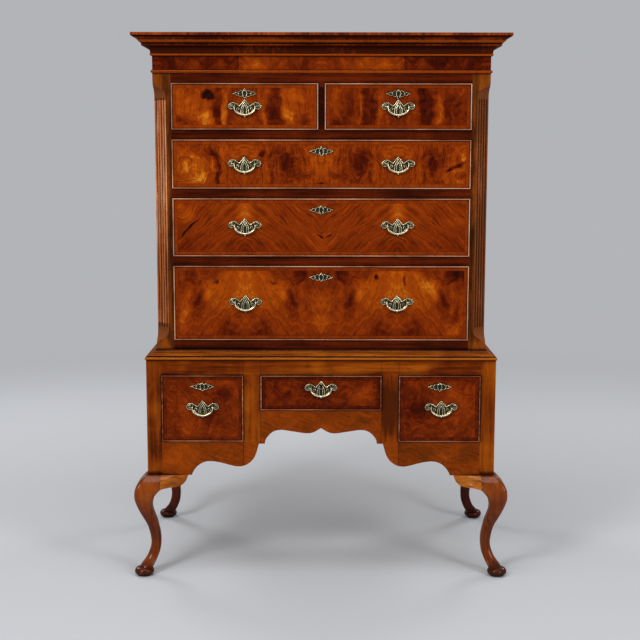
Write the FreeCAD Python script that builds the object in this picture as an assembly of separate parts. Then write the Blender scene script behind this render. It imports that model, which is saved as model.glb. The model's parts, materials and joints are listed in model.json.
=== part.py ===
import FreeCAD, Part
import math
import os
from FreeCAD import Vector

# A walnut chest on stand. Millimetres, +Z up, the front faces -Y, +X to the right of someone facing it.
# The origin is on the floor, under the middle of the stand.

# --- Stand ---
stand_width = 1000.0
stand_depth = 548.0
stand_height = 334.5        # its frame, from the top of the legs to the foot of the chest
leg_height = 295.0
stand_post = 42.0           # square corner posts, seen as the outer stiles
stand_board = 22.0          # side boards, back board and apron
side_drawer_width = 236.0   # openings left and right of the kneehole
inner_stile = 47.5
stile_tenon_inset = 14.0    # from the kneehole side, clear of the apron's step
stand_top_rail = 41.0
stand_rail_depth = 62.0
side_drawer_height = 195.5
centre_drawer_height = 103.5
partition_thickness = 12.0
stand_back_rise = 45.0      # gap under the back board
leg_dowel_radius = 11.0
leg_dowel_length = 45.0

# --- Legs ---
leg_block = 38.0            # how far a leg's flat glued faces stand in from the stand's corner
foot_out = 13.0             # centre of a foot outside the stand's corner, along X and Y
foot_radius = 28.0
foot_height = 27.0
shoe_radius = 18.0
bracket_length = 76.0
bracket_drop = 37.0
bracket_thickness = 22.0

# --- Apron: halves count out from the middle ---
arch_half = 178.5           # half width of the raised middle arch at its steps
step_width = 17.0
neck_out = 5.0              # how far the edge stands outside a step just below it
side_arch_half = 373.0      # where the outer arches meet the straight foot
shoulder_run = 62.0         # from an outer arch's foot to its crown
lobe_half = 241.5           # middle of the hanging lobe
lobe_sweep = 51.0           # from the lobe in to where its edge turns up to the step
crown_run = 48.0            # from a step in to the middle arch's crown
swag_half = 43.5
flank_arch_inset = 126.0    # foot of the side boards' arch, in from the stand's corner
cut_reach = 60.0            # how far a cutting outline stands clear of what it cuts

# Rises of the apron's edge, as shares of its height under the side drawers.
side_arch_share = 0.413
lobe_share = 0.26
step_share = 0.949

# Rises of the middle arch, as shares of the apron's height under the centre drawer.
arch_share = 0.7026
swag_share = 0.65
peak_share = 0.7316

# --- Chest ---
chest_inset = 28.0          # chest stands in from the stand at the front and sides
chest_board = 18.0
corner_width = 50.0
corner_depth = 46.0
cant = 36.0
rail_height = 25.0
bottom_rail_height = 55.0
top_rail_height = 23.5
frieze_height = 50.0
frieze_thickness = 22.0
cornice_height = 60.0
row_heights = {"lower": 216.0, "middle": 166.5, "upper": 139.5, "short": 131.0}
muntin_width = 16.0
dust_board = 12.0
groove_depth = 6.0
back_board = 12.0
back_rebate = 9.0
back_board_count = 4
back_board_gap = 0.5
carcase_tenon = 12.0
tenon_shoulder = 4.0
tenon_depth = 30.0
guide_height = 20.0
bearer_height = 20.0
bearer_width = 42.0
cleat_height = 18.0
cleat_width = 44.0
stop_width = 20.0
stop_height = 30.0

# --- Canted, fluted corners ---
upper_stop_drop = 15.0      # square corner above the cant, down from the frieze
upper_stop_height = 46.0
lower_stop_rise = 36.0      # square corner below the cant, up from the stand
lower_stop_height = 48.0
flute_count = 4
flute_radius = 4.0
flute_pitch = 11.3
flute_margin = 4.5

# --- Mouldings ---
cornice_reach = 52.5
cornice_fillet = 8.0
cornice_step = 3.5          # each step in below the fillet
cornice_band = 2.5          # the thin fillet between the two steps
cyma_foot_reach = 28.0
cyma_foot_height = 34.0     # up from the foot of the cornice
cornice_bead_head = 32.5    # the bead under the cyma, up from the foot
cornice_bead_foot = 25.0
cornice_bead_reach = 23.0
cornice_bead_proud = 3.5
cove_head_reach = 20.0
cove_foot_reach = 4.5
cove_foot_height = 6.0
astragal_reach = 4.5
astragal_rise = 2.5         # up from the foot of the frieze
astragal_height = 9.0
waist_height = 29.0
waist_fillet = 2.5
waist_bead = 8.5
waist_bead_proud = 3.5
waist_quirk = 2.5           # upright step between the bead and the slope
waist_head_reach = 4.0
mitre_reach = 70.0

# --- Drawers ---
drawer_gap = 1.0            # round a drawer front
running_gap = 0.3           # under the drawer sides, behind the box and round each bolt
front_thickness = 22.0
side_thickness = 10.0
box_back_thickness = 10.0
bottom_thickness = 7.0
bottom_rise = 6.0
bottom_groove = 5.0
tail_length = 12.0
tail_pitch = 48.0
tail_slope = 1.0 / 6.0
back_drop = 5.0
chest_box_clearance = 12.0  # from the drawer box to the back boards
stand_box_clearance = 12.0
bead_width = 3.6
bead_proud = 3.0
bead_rebate = 9.0

# --- Locks ---
lock_width = 64.0
lock_height = 45.0
lock_depth = 10.0
bolt_width = 24.0
bolt_thickness = 5.0
bolt_length = 22.0
bolt_throw = 8.0
bolt_mortise_gap = 1.0
keyhole_radius = 3.2
keyhole_slot = 3.4
keyhole_length = 9.0
lock_drop = 33.5
short_lock_drop = 30.0

# --- Pulls and escutcheons ---
plate_thickness = 2.0
pull_spread = 433.0         # between the two pulls of a long drawer
post_spread = 71.0
post_radius = 2.6
post_head_radius = 3.8
bail_standoff = 9.0         # bail axis in front of the drawer face
bail_radius = 2.2
bail_half_span = 29.0
bail_neck = 3.2
bail_corner_radius = 16.0
bail_drop = 23.5
pin_radius = 1.5
pin_length = 8.2            # from the middle of the bow's end into the post head
pin_fit = 0.08
nut_size = 10.0
nut_thickness = 4.0
plate_peak = 20.0
plate_half_width = 47.0
escutcheon_half_width = 35.0
escutcheon_half_height = 13.5
escutcheon_pin_spread = 46.0
escutcheon_pin_radius = 1.0
escutcheon_pin_length = 9.0

# --- Places worked out from the sizes ---
stand_half = stand_width / 2
stand_front = -stand_depth / 2
stand_back = stand_depth / 2
stand_top = leg_height + stand_height
chest_half = stand_half - chest_inset
chest_front = stand_front + chest_inset
chest_back = stand_back
opening_half = chest_half - corner_width
inner_half = chest_half - chest_board
lining_back = chest_back - back_board
lower_foot = stand_top + bottom_rail_height
lower_head = lower_foot + row_heights["lower"]
middle_foot = lower_head + rail_height
middle_head = middle_foot + row_heights["middle"]
upper_foot = middle_head + rail_height
upper_head = upper_foot + row_heights["upper"]
short_foot = upper_head + rail_height
short_head = short_foot + row_heights["short"]
frieze_foot = short_head + top_rail_height
cornice_foot = frieze_foot + frieze_height
case_top = cornice_foot + cornice_height
stand_inner = stand_half - stand_post
stand_drawer_head = stand_top - stand_top_rail
side_drawer_foot = stand_drawer_head - side_drawer_height
centre_drawer_foot = stand_drawer_head - centre_drawer_height
centre_half = stand_inner - side_drawer_width - inner_stile
side_drawer_inner = stand_inner - side_drawer_width
stand_lining_back = stand_back - stand_board
partition_middle = (centre_half + side_drawer_inner) / 2
side_apron = side_drawer_foot - leg_height
middle_apron = centre_drawer_foot - leg_height
side_arch_rise = side_arch_share * side_apron


def box(x0, x1, y0, y1, z0, z1):
    """A block between two corners."""
    return Part.makeBox(x1 - x0, y1 - y0, z1 - z0, Vector(x0, y0, z0))


def mirrored(shape):
    """The same shape on the other side of the middle."""
    return shape.mirror(Vector(0, 0, 0), Vector(1, 0, 0))


def both_sides(shape):
    """A right-hand shape and its left-hand twin."""
    return [shape, mirrored(shape)]


def cut_all(shape, tools):
    """The shape less every tool, one after another."""
    for tool in tools:
        shape = shape.cut(tool)
    return shape


def prism(corners, along):
    """A flat polygon pushed along a vector."""
    return Part.Face(Part.makePolygon([*corners, corners[0]])).extrude(along)


def curve(points):
    """A smooth edge through the points."""
    spline = Part.BSplineCurve()
    spline.interpolate(points)
    return spline.toShape()


def line(start, end):
    return Part.makeLine(start, end)


def arc(start, middle, end):
    return Part.Arc(start, middle, end).toShape()


def solid_of(edges, along):
    """A closed outline of edges pushed along a vector."""
    return Part.Face(Part.Wire(edges)).extrude(along)


def save(name, solids):
    """Write one node: each of its pieces stays a solid of its own."""
    pieces = []
    for shape in solids:
        pieces += shape.Solids
    Part.makeCompound(pieces).exportStep("parts/" + name + ".step")


# --- Mouldings -------------------------------------------------------------------------------------------

def mitred_lengths(profile, half, front, back):
    """Front and side lengths of a moulding round the front of a case, mitred at the corners.
    profile(place) gives the section's edges, where place(out, up) turns section sizes into a point."""
    def front_place(out, up):
        return Vector(-half - mitre_reach, front - out, up)

    def side_place(out, up):
        return Vector(half + out, back, up)

    front_bar = solid_of(profile(front_place), Vector(2 * (half + mitre_reach), 0, 0))
    side_bar = solid_of(profile(side_place), Vector(0, front - mitre_reach - back, 0))
    low = front_bar.BoundBox.ZMin - 1
    tall = Vector(0, 0, front_bar.BoundBox.ZLength + 2)
    front_corners = [Vector(-half, front, low), Vector(half, front, low),
                     Vector(half + mitre_reach, front - mitre_reach, low),
                     Vector(-half - mitre_reach, front - mitre_reach, low)]
    side_corners = [Vector(half, front, low), Vector(half, back, low),
                    Vector(half + mitre_reach, back, low),
                    Vector(half + mitre_reach, front - mitre_reach, low)]
    front_length = front_bar.common(prism(front_corners, tall))
    side_length = side_bar.common(prism(side_corners, tall))
    return [front_length, *both_sides(side_length)]


def cornice_profile(place):
    """Two fillets, cyma, bead and cove, from the top down."""
    foot = cornice_foot
    lip = case_top - cornice_fillet
    band_foot = lip - cornice_band
    band_reach = cornice_reach - cornice_step
    cyma_head = band_reach - cornice_step
    cyma_foot = foot + cyma_foot_height
    cyma_fall = band_foot - cyma_foot
    cyma_run = cyma_head - cyma_foot_reach
    bead_head = foot + cornice_bead_head
    bead_foot = foot + cornice_bead_foot
    cove_foot = foot + cove_foot_height
    cove_run = cove_head_reach - cove_foot_reach
    cove_fall = bead_foot - cove_foot
    return [
        line(place(0, foot), place(0, case_top)),
        line(place(0, case_top), place(cornice_reach, case_top)),
        line(place(cornice_reach, case_top), place(cornice_reach, lip)),
        line(place(cornice_reach, lip), place(band_reach, lip)),
        line(place(band_reach, lip), place(band_reach, band_foot)),
        line(place(band_reach, band_foot), place(cyma_head, band_foot)),
        curve([place(cyma_head, band_foot),
               place(cyma_head - 0.25 * cyma_run, band_foot - 0.17 * cyma_fall),
               place(cyma_head - 0.5 * cyma_run, band_foot - 0.5 * cyma_fall),
               place(cyma_head - 0.75 * cyma_run, band_foot - 0.83 * cyma_fall),
               place(cyma_foot_reach, cyma_foot)]),
        line(place(cyma_foot_reach, cyma_foot), place(cyma_foot_reach, bead_head)),
        line(place(cyma_foot_reach, bead_head), place(cornice_bead_reach, bead_head)),
        arc(place(cornice_bead_reach, bead_head),
            place(cornice_bead_reach + cornice_bead_proud, (bead_head + bead_foot) / 2),
            place(cornice_bead_reach, bead_foot)),
        line(place(cornice_bead_reach, bead_foot), place(cove_head_reach, bead_foot)),
        arc(place(cove_head_reach, bead_foot),
            place(cove_foot_reach + 0.29 * cove_run, bead_foot - 0.29 * cove_fall),
            place(cove_foot_reach, cove_foot)),
        arc(place(cove_foot_reach, cove_foot),
            place(cove_foot_reach + 1.5, foot + cove_foot_height / 2 + 0.5),
            place(cove_foot_reach - 1.5, foot)),
        line(place(cove_foot_reach - 1.5, foot), place(0, foot)),
    ]


def astragal_profile(place):
    """A half-round bead with a flat back."""
    foot = frieze_foot + astragal_rise
    return [
        line(place(0, foot), place(0, foot + astragal_height)),
        arc(place(0, foot + astragal_height), place(astragal_reach, foot + astragal_height / 2),
            place(0, foot)),
    ]


def waist_profile(place):
    """The moulding on the stand that the chest sits in: fillet, bead, and an ogee back to the chest."""
    bead_foot = stand_top + waist_fillet
    bead_head = bead_foot + waist_bead
    head = stand_top + waist_height
    lip = head - 3.0
    slope_start = chest_inset - 3.0
    slope_foot = bead_head + waist_quirk
    run = slope_start - waist_head_reach
    rise = lip - slope_foot
    return [
        line(place(0, head), place(0, stand_top)),
        line(place(0, stand_top), place(chest_inset, stand_top)),
        line(place(chest_inset, stand_top), place(chest_inset, bead_foot)),
        arc(place(chest_inset, bead_foot),
            place(chest_inset + waist_bead_proud, bead_foot + waist_bead / 2),
            place(chest_inset, bead_head)),
        line(place(chest_inset, bead_head), place(slope_start, bead_head)),
        line(place(slope_start, bead_head), place(slope_start, slope_foot)),
        curve([place(slope_start, slope_foot),
               place(slope_start - 0.35 * run, slope_foot + 0.42 * rise),
               place(slope_start - 0.7 * run, slope_foot + 0.62 * rise),
               place(waist_head_reach, lip)]),
        line(place(waist_head_reach, lip), place(waist_head_reach, head)),
        line(place(waist_head_reach, head), place(0, head)),
    ]


# --- Chest case ------------------------------------------------------------------------------------------

def ogee(place, start, end):
    """An S of two equal arcs that leaves and arrives upright, between two (in, up) points."""
    shift = end[0] - start[0]
    rise = end[1] - start[1]
    radius = (rise * rise + shift * shift) / (4 * abs(shift))
    half_turn = math.atan(abs(shift) / abs(rise))
    side = math.copysign(radius * (1 - math.cos(half_turn)), shift)
    up = math.copysign(radius * math.sin(half_turn), rise)
    middle = place((start[0] + end[0]) / 2, (start[1] + end[1]) / 2)
    return [arc(place(*start), place(start[0] + side, start[1] + up), middle),
            arc(middle, place(end[0] - side, end[1] - up), place(*end))]


def cant_cutter():
    """What is planed off the right-hand front corner, with a lamb's-tongue stop at each end."""
    corner = Vector(chest_half, chest_front, 0)
    inward = Vector(-1, 1, 0).normalize()
    sideways = Vector(1, 1, 0).normalize()
    depth = cant / math.sqrt(2)

    def place(deep, up):
        return corner + inward * deep + Vector(0, 0, up) - sideways * cant

    low = stand_top + lower_stop_rise
    low_end = low + lower_stop_height
    high = frieze_foot - upper_stop_drop
    high_start = high - upper_stop_height
    edges = [
        *ogee(place, (0, low), (depth, low_end)),
        line(place(depth, low_end), place(depth, high_start)),
        *ogee(place, (depth, high_start), (0, high)),
        line(place(0, high), place(-depth, high)),
        line(place(-depth, high), place(-depth, low)),
        line(place(-depth, low), place(0, low)),
    ]
    cutter = solid_of(edges, sideways * 2 * cant)
    middle = corner + inward * depth
    for number in range(flute_count):
        offset = (number - (flute_count - 1) / 2) * flute_pitch
        foot = middle + sideways * offset + Vector(0, 0, low_end + flute_margin + flute_radius)
        length = high_start - low_end - 2 * (flute_margin + flute_radius)
        head = foot + Vector(0, 0, length)
        cutter = cutter.fuse([Part.makeCylinder(flute_radius, length, foot),
                              Part.makeSphere(flute_radius, foot), Part.makeSphere(flute_radius, head)])
    return cutter


def rail(foot, height, inner=opening_half, front=chest_front, depth=corner_depth):
    """A rail across the front, with a stub tenon at each end."""
    body = box(-inner, inner, front, front + depth, foot, foot + height)
    tenon = box(-inner - carcase_tenon, inner + carcase_tenon, front + tenon_shoulder,
                front + tenon_shoulder + tenon_depth, foot + tenon_shoulder, foot + height - tenon_shoulder)
    return body.fuse(tenon).removeSplitter()


def bolt_mortise(drawer):
    """The hole above a drawer that its lock bolt rises into."""
    middle = (drawer["left"] + drawer["right"]) / 2
    plane = drawer["face"] + front_thickness - lock_depth / 2
    half_width = bolt_width / 2 + bolt_mortise_gap
    half_thickness = bolt_thickness / 2 + bolt_mortise_gap
    return box(middle - half_width, middle + half_width, plane - half_thickness, plane + half_thickness,
               drawer["head"], drawer["head"] + bolt_throw + bolt_mortise_gap)


def dust_boards():
    """Boards between the rows of drawers, let into sides and rails; the lowest is the case's bottom."""
    half = inner_half + groove_depth
    front = chest_front + corner_depth - groove_depth
    tops = {"bottom": lower_foot, "middle": middle_foot, "upper": upper_foot, "short": short_foot}
    thick = {"bottom": chest_board}
    return {name: box(-half, half, front, lining_back, top - thick.get(name, dust_board), top)
            for name, top in tops.items()}


def build_chest(drawers):
    boards = dust_boards()
    top_board = box(-inner_half - back_rebate, inner_half + back_rebate, chest_front + frieze_thickness,
                    lining_back, case_top - chest_board, case_top)
    rails = [rail(stand_top, bottom_rail_height), rail(lower_head, rail_height),
             rail(middle_head, rail_height), rail(upper_head, rail_height), rail(short_head, top_rail_height)]
    muntin = box(-muntin_width / 2, muntin_width / 2, chest_front, chest_front + corner_depth,
                 short_foot, short_head)
    muntin_tenon = box(-muntin_width / 4, muntin_width / 4, chest_front + tenon_shoulder,
                       chest_front + tenon_depth, short_foot - carcase_tenon / 2,
                       short_head + carcase_tenon / 2)
    muntin = muntin.fuse(muntin_tenon).removeSplitter()
    mortises = [bolt_mortise(drawer) for drawer in drawers if drawer["face"] == chest_front]
    holes = [*boards.values(), muntin, *mortises]
    cut_rails = [cut_all(piece, holes) for piece in rails]

    front_of_side = chest_front + corner_depth
    side = box(inner_half, chest_half, front_of_side, chest_back, stand_top, case_top)
    side = side.fuse(box(inner_half, chest_half, chest_front + frieze_thickness, front_of_side,
                         frieze_foot, case_top)).removeSplitter()
    tongue_middle = (inner_half + chest_half) / 2
    tongue = box(tongue_middle - chest_board / 6, tongue_middle + chest_board / 6,
                 front_of_side - groove_depth, front_of_side, stand_top, frieze_foot)
    side = side.fuse(tongue).removeSplitter()
    rebate = box(inner_half - 1, inner_half + back_rebate, lining_back, chest_back + 1,
                 stand_top - 1, case_top + 1)
    side = cut_all(side, [rebate, top_board, *boards.values()])

    post = box(opening_half, chest_half, chest_front, front_of_side, stand_top, frieze_foot)
    post = cut_all(post, [cant_cutter(), side, *rails, *boards.values()])

    span = 2 * (inner_half + back_rebate)
    pitch = (span + back_board_gap) / back_board_count
    backs = [box(-span / 2 + number * pitch, -span / 2 + (number + 1) * pitch - back_board_gap,
                 lining_back, chest_back, stand_top, case_top) for number in range(back_board_count)]

    frieze_board = box(-chest_half, chest_half, chest_front, chest_front + frieze_thickness,
                       frieze_foot, case_top)
    save("chest_sides", both_sides(side))
    save("chest_corner_posts", both_sides(post))
    save("chest_top_and_dust_boards", [top_board, *boards.values()])
    save("chest_drawer_rails", [*cut_rails, muntin])
    save("frieze", [frieze_board, *mitred_lengths(astragal_profile, chest_half, chest_front, chest_back)])
    save("cornice", mitred_lengths(cornice_profile, chest_half, chest_front, chest_back))
    return backs


def chest_guides():
    """Strips on the dust boards that keep the drawers straight, and stops behind the drawer boxes."""
    pieces = []
    front = chest_front + corner_depth
    for foot in (lower_foot, middle_foot, upper_foot, short_foot):
        guide = box(opening_half, inner_half, front, lining_back, foot, foot + guide_height)
        pieces += both_sides(guide)
        near_middle = muntin_width / 2 if foot == short_foot else stop_width
        stop = box(opening_half - 2 * stop_width, opening_half - stop_width,
                   lining_back - chest_box_clearance + running_gap, lining_back, foot, foot + stop_height)
        inner_stop = stop.copy()
        inner_stop.translate(Vector(near_middle + 2 * stop_width - opening_half + stop_width, 0, 0))
        pieces += both_sides(stop)
        if foot == short_foot:
            pieces += both_sides(inner_stop)
    middle_guide = box(-muntin_width / 2, muntin_width / 2, front, lining_back,
                       short_foot, short_foot + guide_height)
    return [*pieces, middle_guide]


# --- Stand -----------------------------------------------------------------------------------------------

def apron_edge(place):
    """The apron's lower edge from the right-hand foot to the middle, as edges; place(x, up) gives a point."""
    step_out = arch_half
    step_in = arch_half - step_width
    lobe = lobe_share * side_apron
    step = step_share * side_apron
    arch = arch_share * middle_apron
    swag = swag_share * middle_apron
    climb = step - lobe
    vault = arch - step
    crown_end = step_in - 1.48 * crown_run
    return [
        line(place(stand_inner, 0), place(side_arch_half, 0)),
        curve([place(side_arch_half, 0),
               place(side_arch_half - 0.13 * shoulder_run, 0.4 * side_arch_rise),
               place(side_arch_half - 0.61 * shoulder_run, 0.96 * side_arch_rise),
               place(side_arch_half - shoulder_run, side_arch_rise),
               place(side_arch_half - 1.39 * shoulder_run, 0.9 * side_arch_rise),
               place(lobe_half + 0.35 * lobe_sweep, lobe + 0.23 * (side_arch_rise - lobe)),
               place(lobe_half, lobe),
               place(lobe_half - 0.37 * lobe_sweep, lobe + 0.03 * climb),
               place(lobe_half - 0.73 * lobe_sweep, lobe + 0.18 * climb),
               place(lobe_half - lobe_sweep, lobe + 0.44 * climb),
               place(arch_half + neck_out, lobe + 0.73 * climb),
               place(step_out, step)]),
        line(place(step_out, step), place(step_in, step)),
        curve([place(step_in, step),
               place(step_in - 0.04 * crown_run, step + 0.25 * vault),
               place(step_in - 0.21 * crown_run, step + 0.57 * vault),
               place(step_in - 0.52 * crown_run, step + 0.88 * vault),
               place(step_in - crown_run, arch),
               place(crown_end, arch - 0.3 * (arch - swag)),
               place((swag_half + crown_end) / 2, arch - 0.65 * (arch - swag)),
               place(swag_half, swag),
               place(swag_half / 2, swag + 0.19 * (peak_share * middle_apron - swag)),
               place(swag_half / 4, swag + 0.55 * (peak_share * middle_apron - swag)),
               place(0, peak_share * middle_apron)]),
    ]


def apron():
    """The shaped board under the stand's drawers, higher in the middle under the shallow drawer."""
    def right(x, up):
        return Vector(x, stand_front, leg_height + up)

    def left(x, up):
        return right(-x, up)

    upper = [(stand_inner, 0), (stand_inner, side_apron), (centre_half, side_apron),
             (centre_half, middle_apron)]
    right_lines = [line(right(*a), right(*b)) for a, b in zip(upper, upper[1:])]
    left_lines = [line(left(*a), left(*b)) for a, b in zip(upper, upper[1:])]
    bridge = line(right(*upper[-1]), left(*upper[-1]))
    edges = [*apron_edge(right), *apron_edge(left), *right_lines, *left_lines, bridge]
    outline = Part.Wire(Part.sortEdges(edges)[0])
    return Part.Face(outline).extrude(Vector(0, stand_board, 0))


def flank():
    """The right-hand side board of the stand, with an arch along its lower edge."""
    half_length = stand_back - stand_post
    start = stand_back - flank_arch_inset

    def place(y, up):
        return Vector(stand_half - stand_board, y, leg_height + up)

    def arch_end(sign):
        shares = [(0, 0), (0.13, 0.4), (0.61, 0.96), (1.0, 1.0)]
        return curve([place(sign * (start - run * shoulder_run), share * side_arch_rise)
                      for run, share in shares])

    crown = start - shoulder_run
    edges = [line(place(-half_length, 0), place(-start, 0)), arch_end(-1),
             line(place(-crown, side_arch_rise), place(crown, side_arch_rise)), arch_end(1),
             line(place(start, 0), place(half_length, 0)),
             line(place(half_length, 0), place(half_length, stand_height)),
             line(place(half_length, stand_height), place(-half_length, stand_height)),
             line(place(-half_length, stand_height), place(-half_length, 0))]
    board = Part.Face(Part.Wire(Part.sortEdges(edges)[0])).extrude(Vector(stand_board, 0, 0))
    thin = stand_board / 3
    tenon = box(stand_half - 2 * thin, stand_half - thin, -half_length - carcase_tenon,
                half_length + carcase_tenon, side_drawer_foot, stand_top - carcase_tenon)
    return board.fuse(tenon).removeSplitter()


def leg_section(height, inner, outer, radius):
    """A rounded square section of the front right leg. inner and outer count outward from the corner."""
    low_x = stand_half + inner
    high_x = stand_half + outer
    low_y = stand_front - outer
    high_y = stand_front - inner
    near = min(radius * 0.6, (outer - inner) * 0.46)
    far = min(radius, (outer - inner) * 0.46)

    def corner(x, y, dx, dy, r):
        start = Vector(x + dx * r, y, height)
        end = Vector(x, y + dy * r, height)
        bend = r * (1 - math.sqrt(0.5))
        return start, Vector(x + dx * bend, y + dy * bend, height), end

    a0, am, a1 = corner(high_x, low_y, -1, 1, far)
    b0, bm, b1 = corner(high_x, high_y, -1, -1, near)
    c0, cm, c1 = corner(low_x, high_y, 1, -1, near)
    d0, dm, d1 = corner(low_x, low_y, 1, 1, near)
    return Part.Wire([arc(a0, am, a1), line(a1, b1), arc(b1, bm, b0), line(b0, c0), arc(c0, cm, c1),
                      line(c1, d1), arc(d1, dm, d0), line(d0, a0)])


# Outline of a leg: height as a share of leg_height, inner and outer faces, and corner radius.
# The block is drawn deeper than its glued faces, which are planed flat afterwards.
block_depth = leg_block + 2.0
leg_outline = [
    (1.0, -block_depth, 6.0, 5.0), (0.985, -block_depth, 13.0, 7.0), (0.95, -block_depth, 23.0, 9.0),
    (0.91, -block_depth, 31.0, 10.0), (0.88, -leg_block - 0.5, 34.5, 10.0), (0.85, -31.0, 36.5, 11.0),
    (0.82, -23.5, 37.2, 12.0), (0.78, -17.0, 36.8, 13.0), (0.70, -13.0, 31.0, 15.0),
    (0.60, -19.5, 19.5, 15.0), (0.50, -27.0, 6.5, 14.5), (0.40, -32.0, -1.5, 13.0),
    (0.31, -33.0, -4.5, 12.0), (0.24, -31.0, -1.0, 12.0), (0.18, -26.0, 6.0, 12.5),
    (0.13, -19.5, 16.0, 14.0), (0.09, -13.0, 25.0, 16.0), (0.055, -7.0, 31.5, 17.0),
]


def knee_reach(height):
    """How far the knee stands outside the stand's face at a height, between the outline's points."""
    share = height / leg_height
    for (high, _, high_out, _), (low, _, low_out, _) in zip(leg_outline, leg_outline[1:]):
        if share >= low:
            return low_out + (high_out - low_out) * (share - low) / (high - low)
    return leg_outline[-1][2]


def front_right_leg():
    """Cabriole leg on a pad foot, with a round dowel that goes up into the corner post."""
    sections = [leg_section(share * leg_height, inner, outer, radius)
                for share, inner, outer, radius in leg_outline]
    shank = Part.makeLoft(sections, True, False)
    planed_x = stand_half - leg_block
    planed_y = stand_front + leg_block
    shank = cut_all(shank, [box(planed_x - leg_block, planed_x, stand_front - leg_block, planed_y + leg_block,
                                0, leg_height),
                            box(planed_x, stand_half + leg_block, planed_y, planed_y + leg_block,
                                0, leg_height)])
    foot_x = stand_half + foot_out
    foot_y = stand_front - foot_out

    def place(out, up):
        return Vector(foot_x + out, foot_y, up)

    widest = 0.48 * foot_height
    pad_edges = [line(place(0, 0), place(shoe_radius, 0)),
                 line(place(shoe_radius, 0), place(shoe_radius, 3.5)),
                 arc(place(shoe_radius, 3.5), place(foot_radius - 2.6, 6.2), place(foot_radius, widest)),
                 arc(place(foot_radius, widest), place(foot_radius - 3.2, 0.84 * foot_height - 2),
                     place(foot_radius - 12.0, 0.9 * foot_height)),
                 line(place(foot_radius - 12.0, 0.9 * foot_height), place(0, foot_height)),
                 line(place(0, foot_height), place(0, 0))]
    pad = Part.Face(Part.Wire(pad_edges)).revolve(Vector(foot_x, foot_y, 0), Vector(0, 0, 1), 360)
    dowel_in = leg_block / 2
    dowel = Part.makeCylinder(leg_dowel_radius, leg_dowel_length,
                              Vector(stand_half - dowel_in, stand_front + dowel_in, leg_height))
    return shank.fuse([Part.makeSolid(pad) if pad.ShapeType == "Shell" else pad, dowel])


def front_bracket():
    """Ear that carries the knee's swell along the front of the frame, right-hand side."""
    start = stand_half - leg_block
    floor = leg_height - 1.11 * bracket_drop
    heights = [leg_height - share * (leg_height - floor) for share in (0, 0.12, 0.35, 0.65, 1)]
    inner_y = stand_front + bracket_thickness

    def section(x, swell):
        face = [Vector(x, stand_front - swell * knee_reach(z), z) for z in heights]
        return Part.Wire([curve(face), line(face[-1], Vector(x, inner_y, floor)),
                          line(Vector(x, inner_y, floor), Vector(x, inner_y, leg_height)),
                          line(Vector(x, inner_y, leg_height), face[0])])

    swells = [(0, 0.97), (0.3, 0.78), (0.65, 0.4), (1, 0.06)]
    body = Part.makeLoft([section(start - run * bracket_length, swell) for run, swell in swells], True, False)
    end = start - bracket_length

    def place(run, rise):
        """A point some shares of the bracket in from its tip and up from its foot."""
        return Vector(end + run * bracket_length, stand_front - cut_reach,
                      leg_height + (rise - 1) * bracket_drop)

    outline = [line(place(1, 1), place(0, 1)),
               curve([place(0, 1), place(0.05, 0.56), place(0.19, 0.27), place(0.43, 0.15),
                      place(0.78, 0.12), place(1, 0)]),
               line(place(1, 0), place(1, 1))]
    return body.common(solid_of(outline, Vector(0, 2 * cut_reach, 0)))


def diagonal_twin(shape):
    """The same shape reflected in the upright plane through the front right corner's diagonal."""
    corner = Vector(stand_half, stand_front, 0)
    return shape.mirror(corner, Vector(1, 1, 0).normalize())


def front_to_back(shape):
    return shape.mirror(Vector(0, 0, 0), Vector(0, 1, 0))


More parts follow.
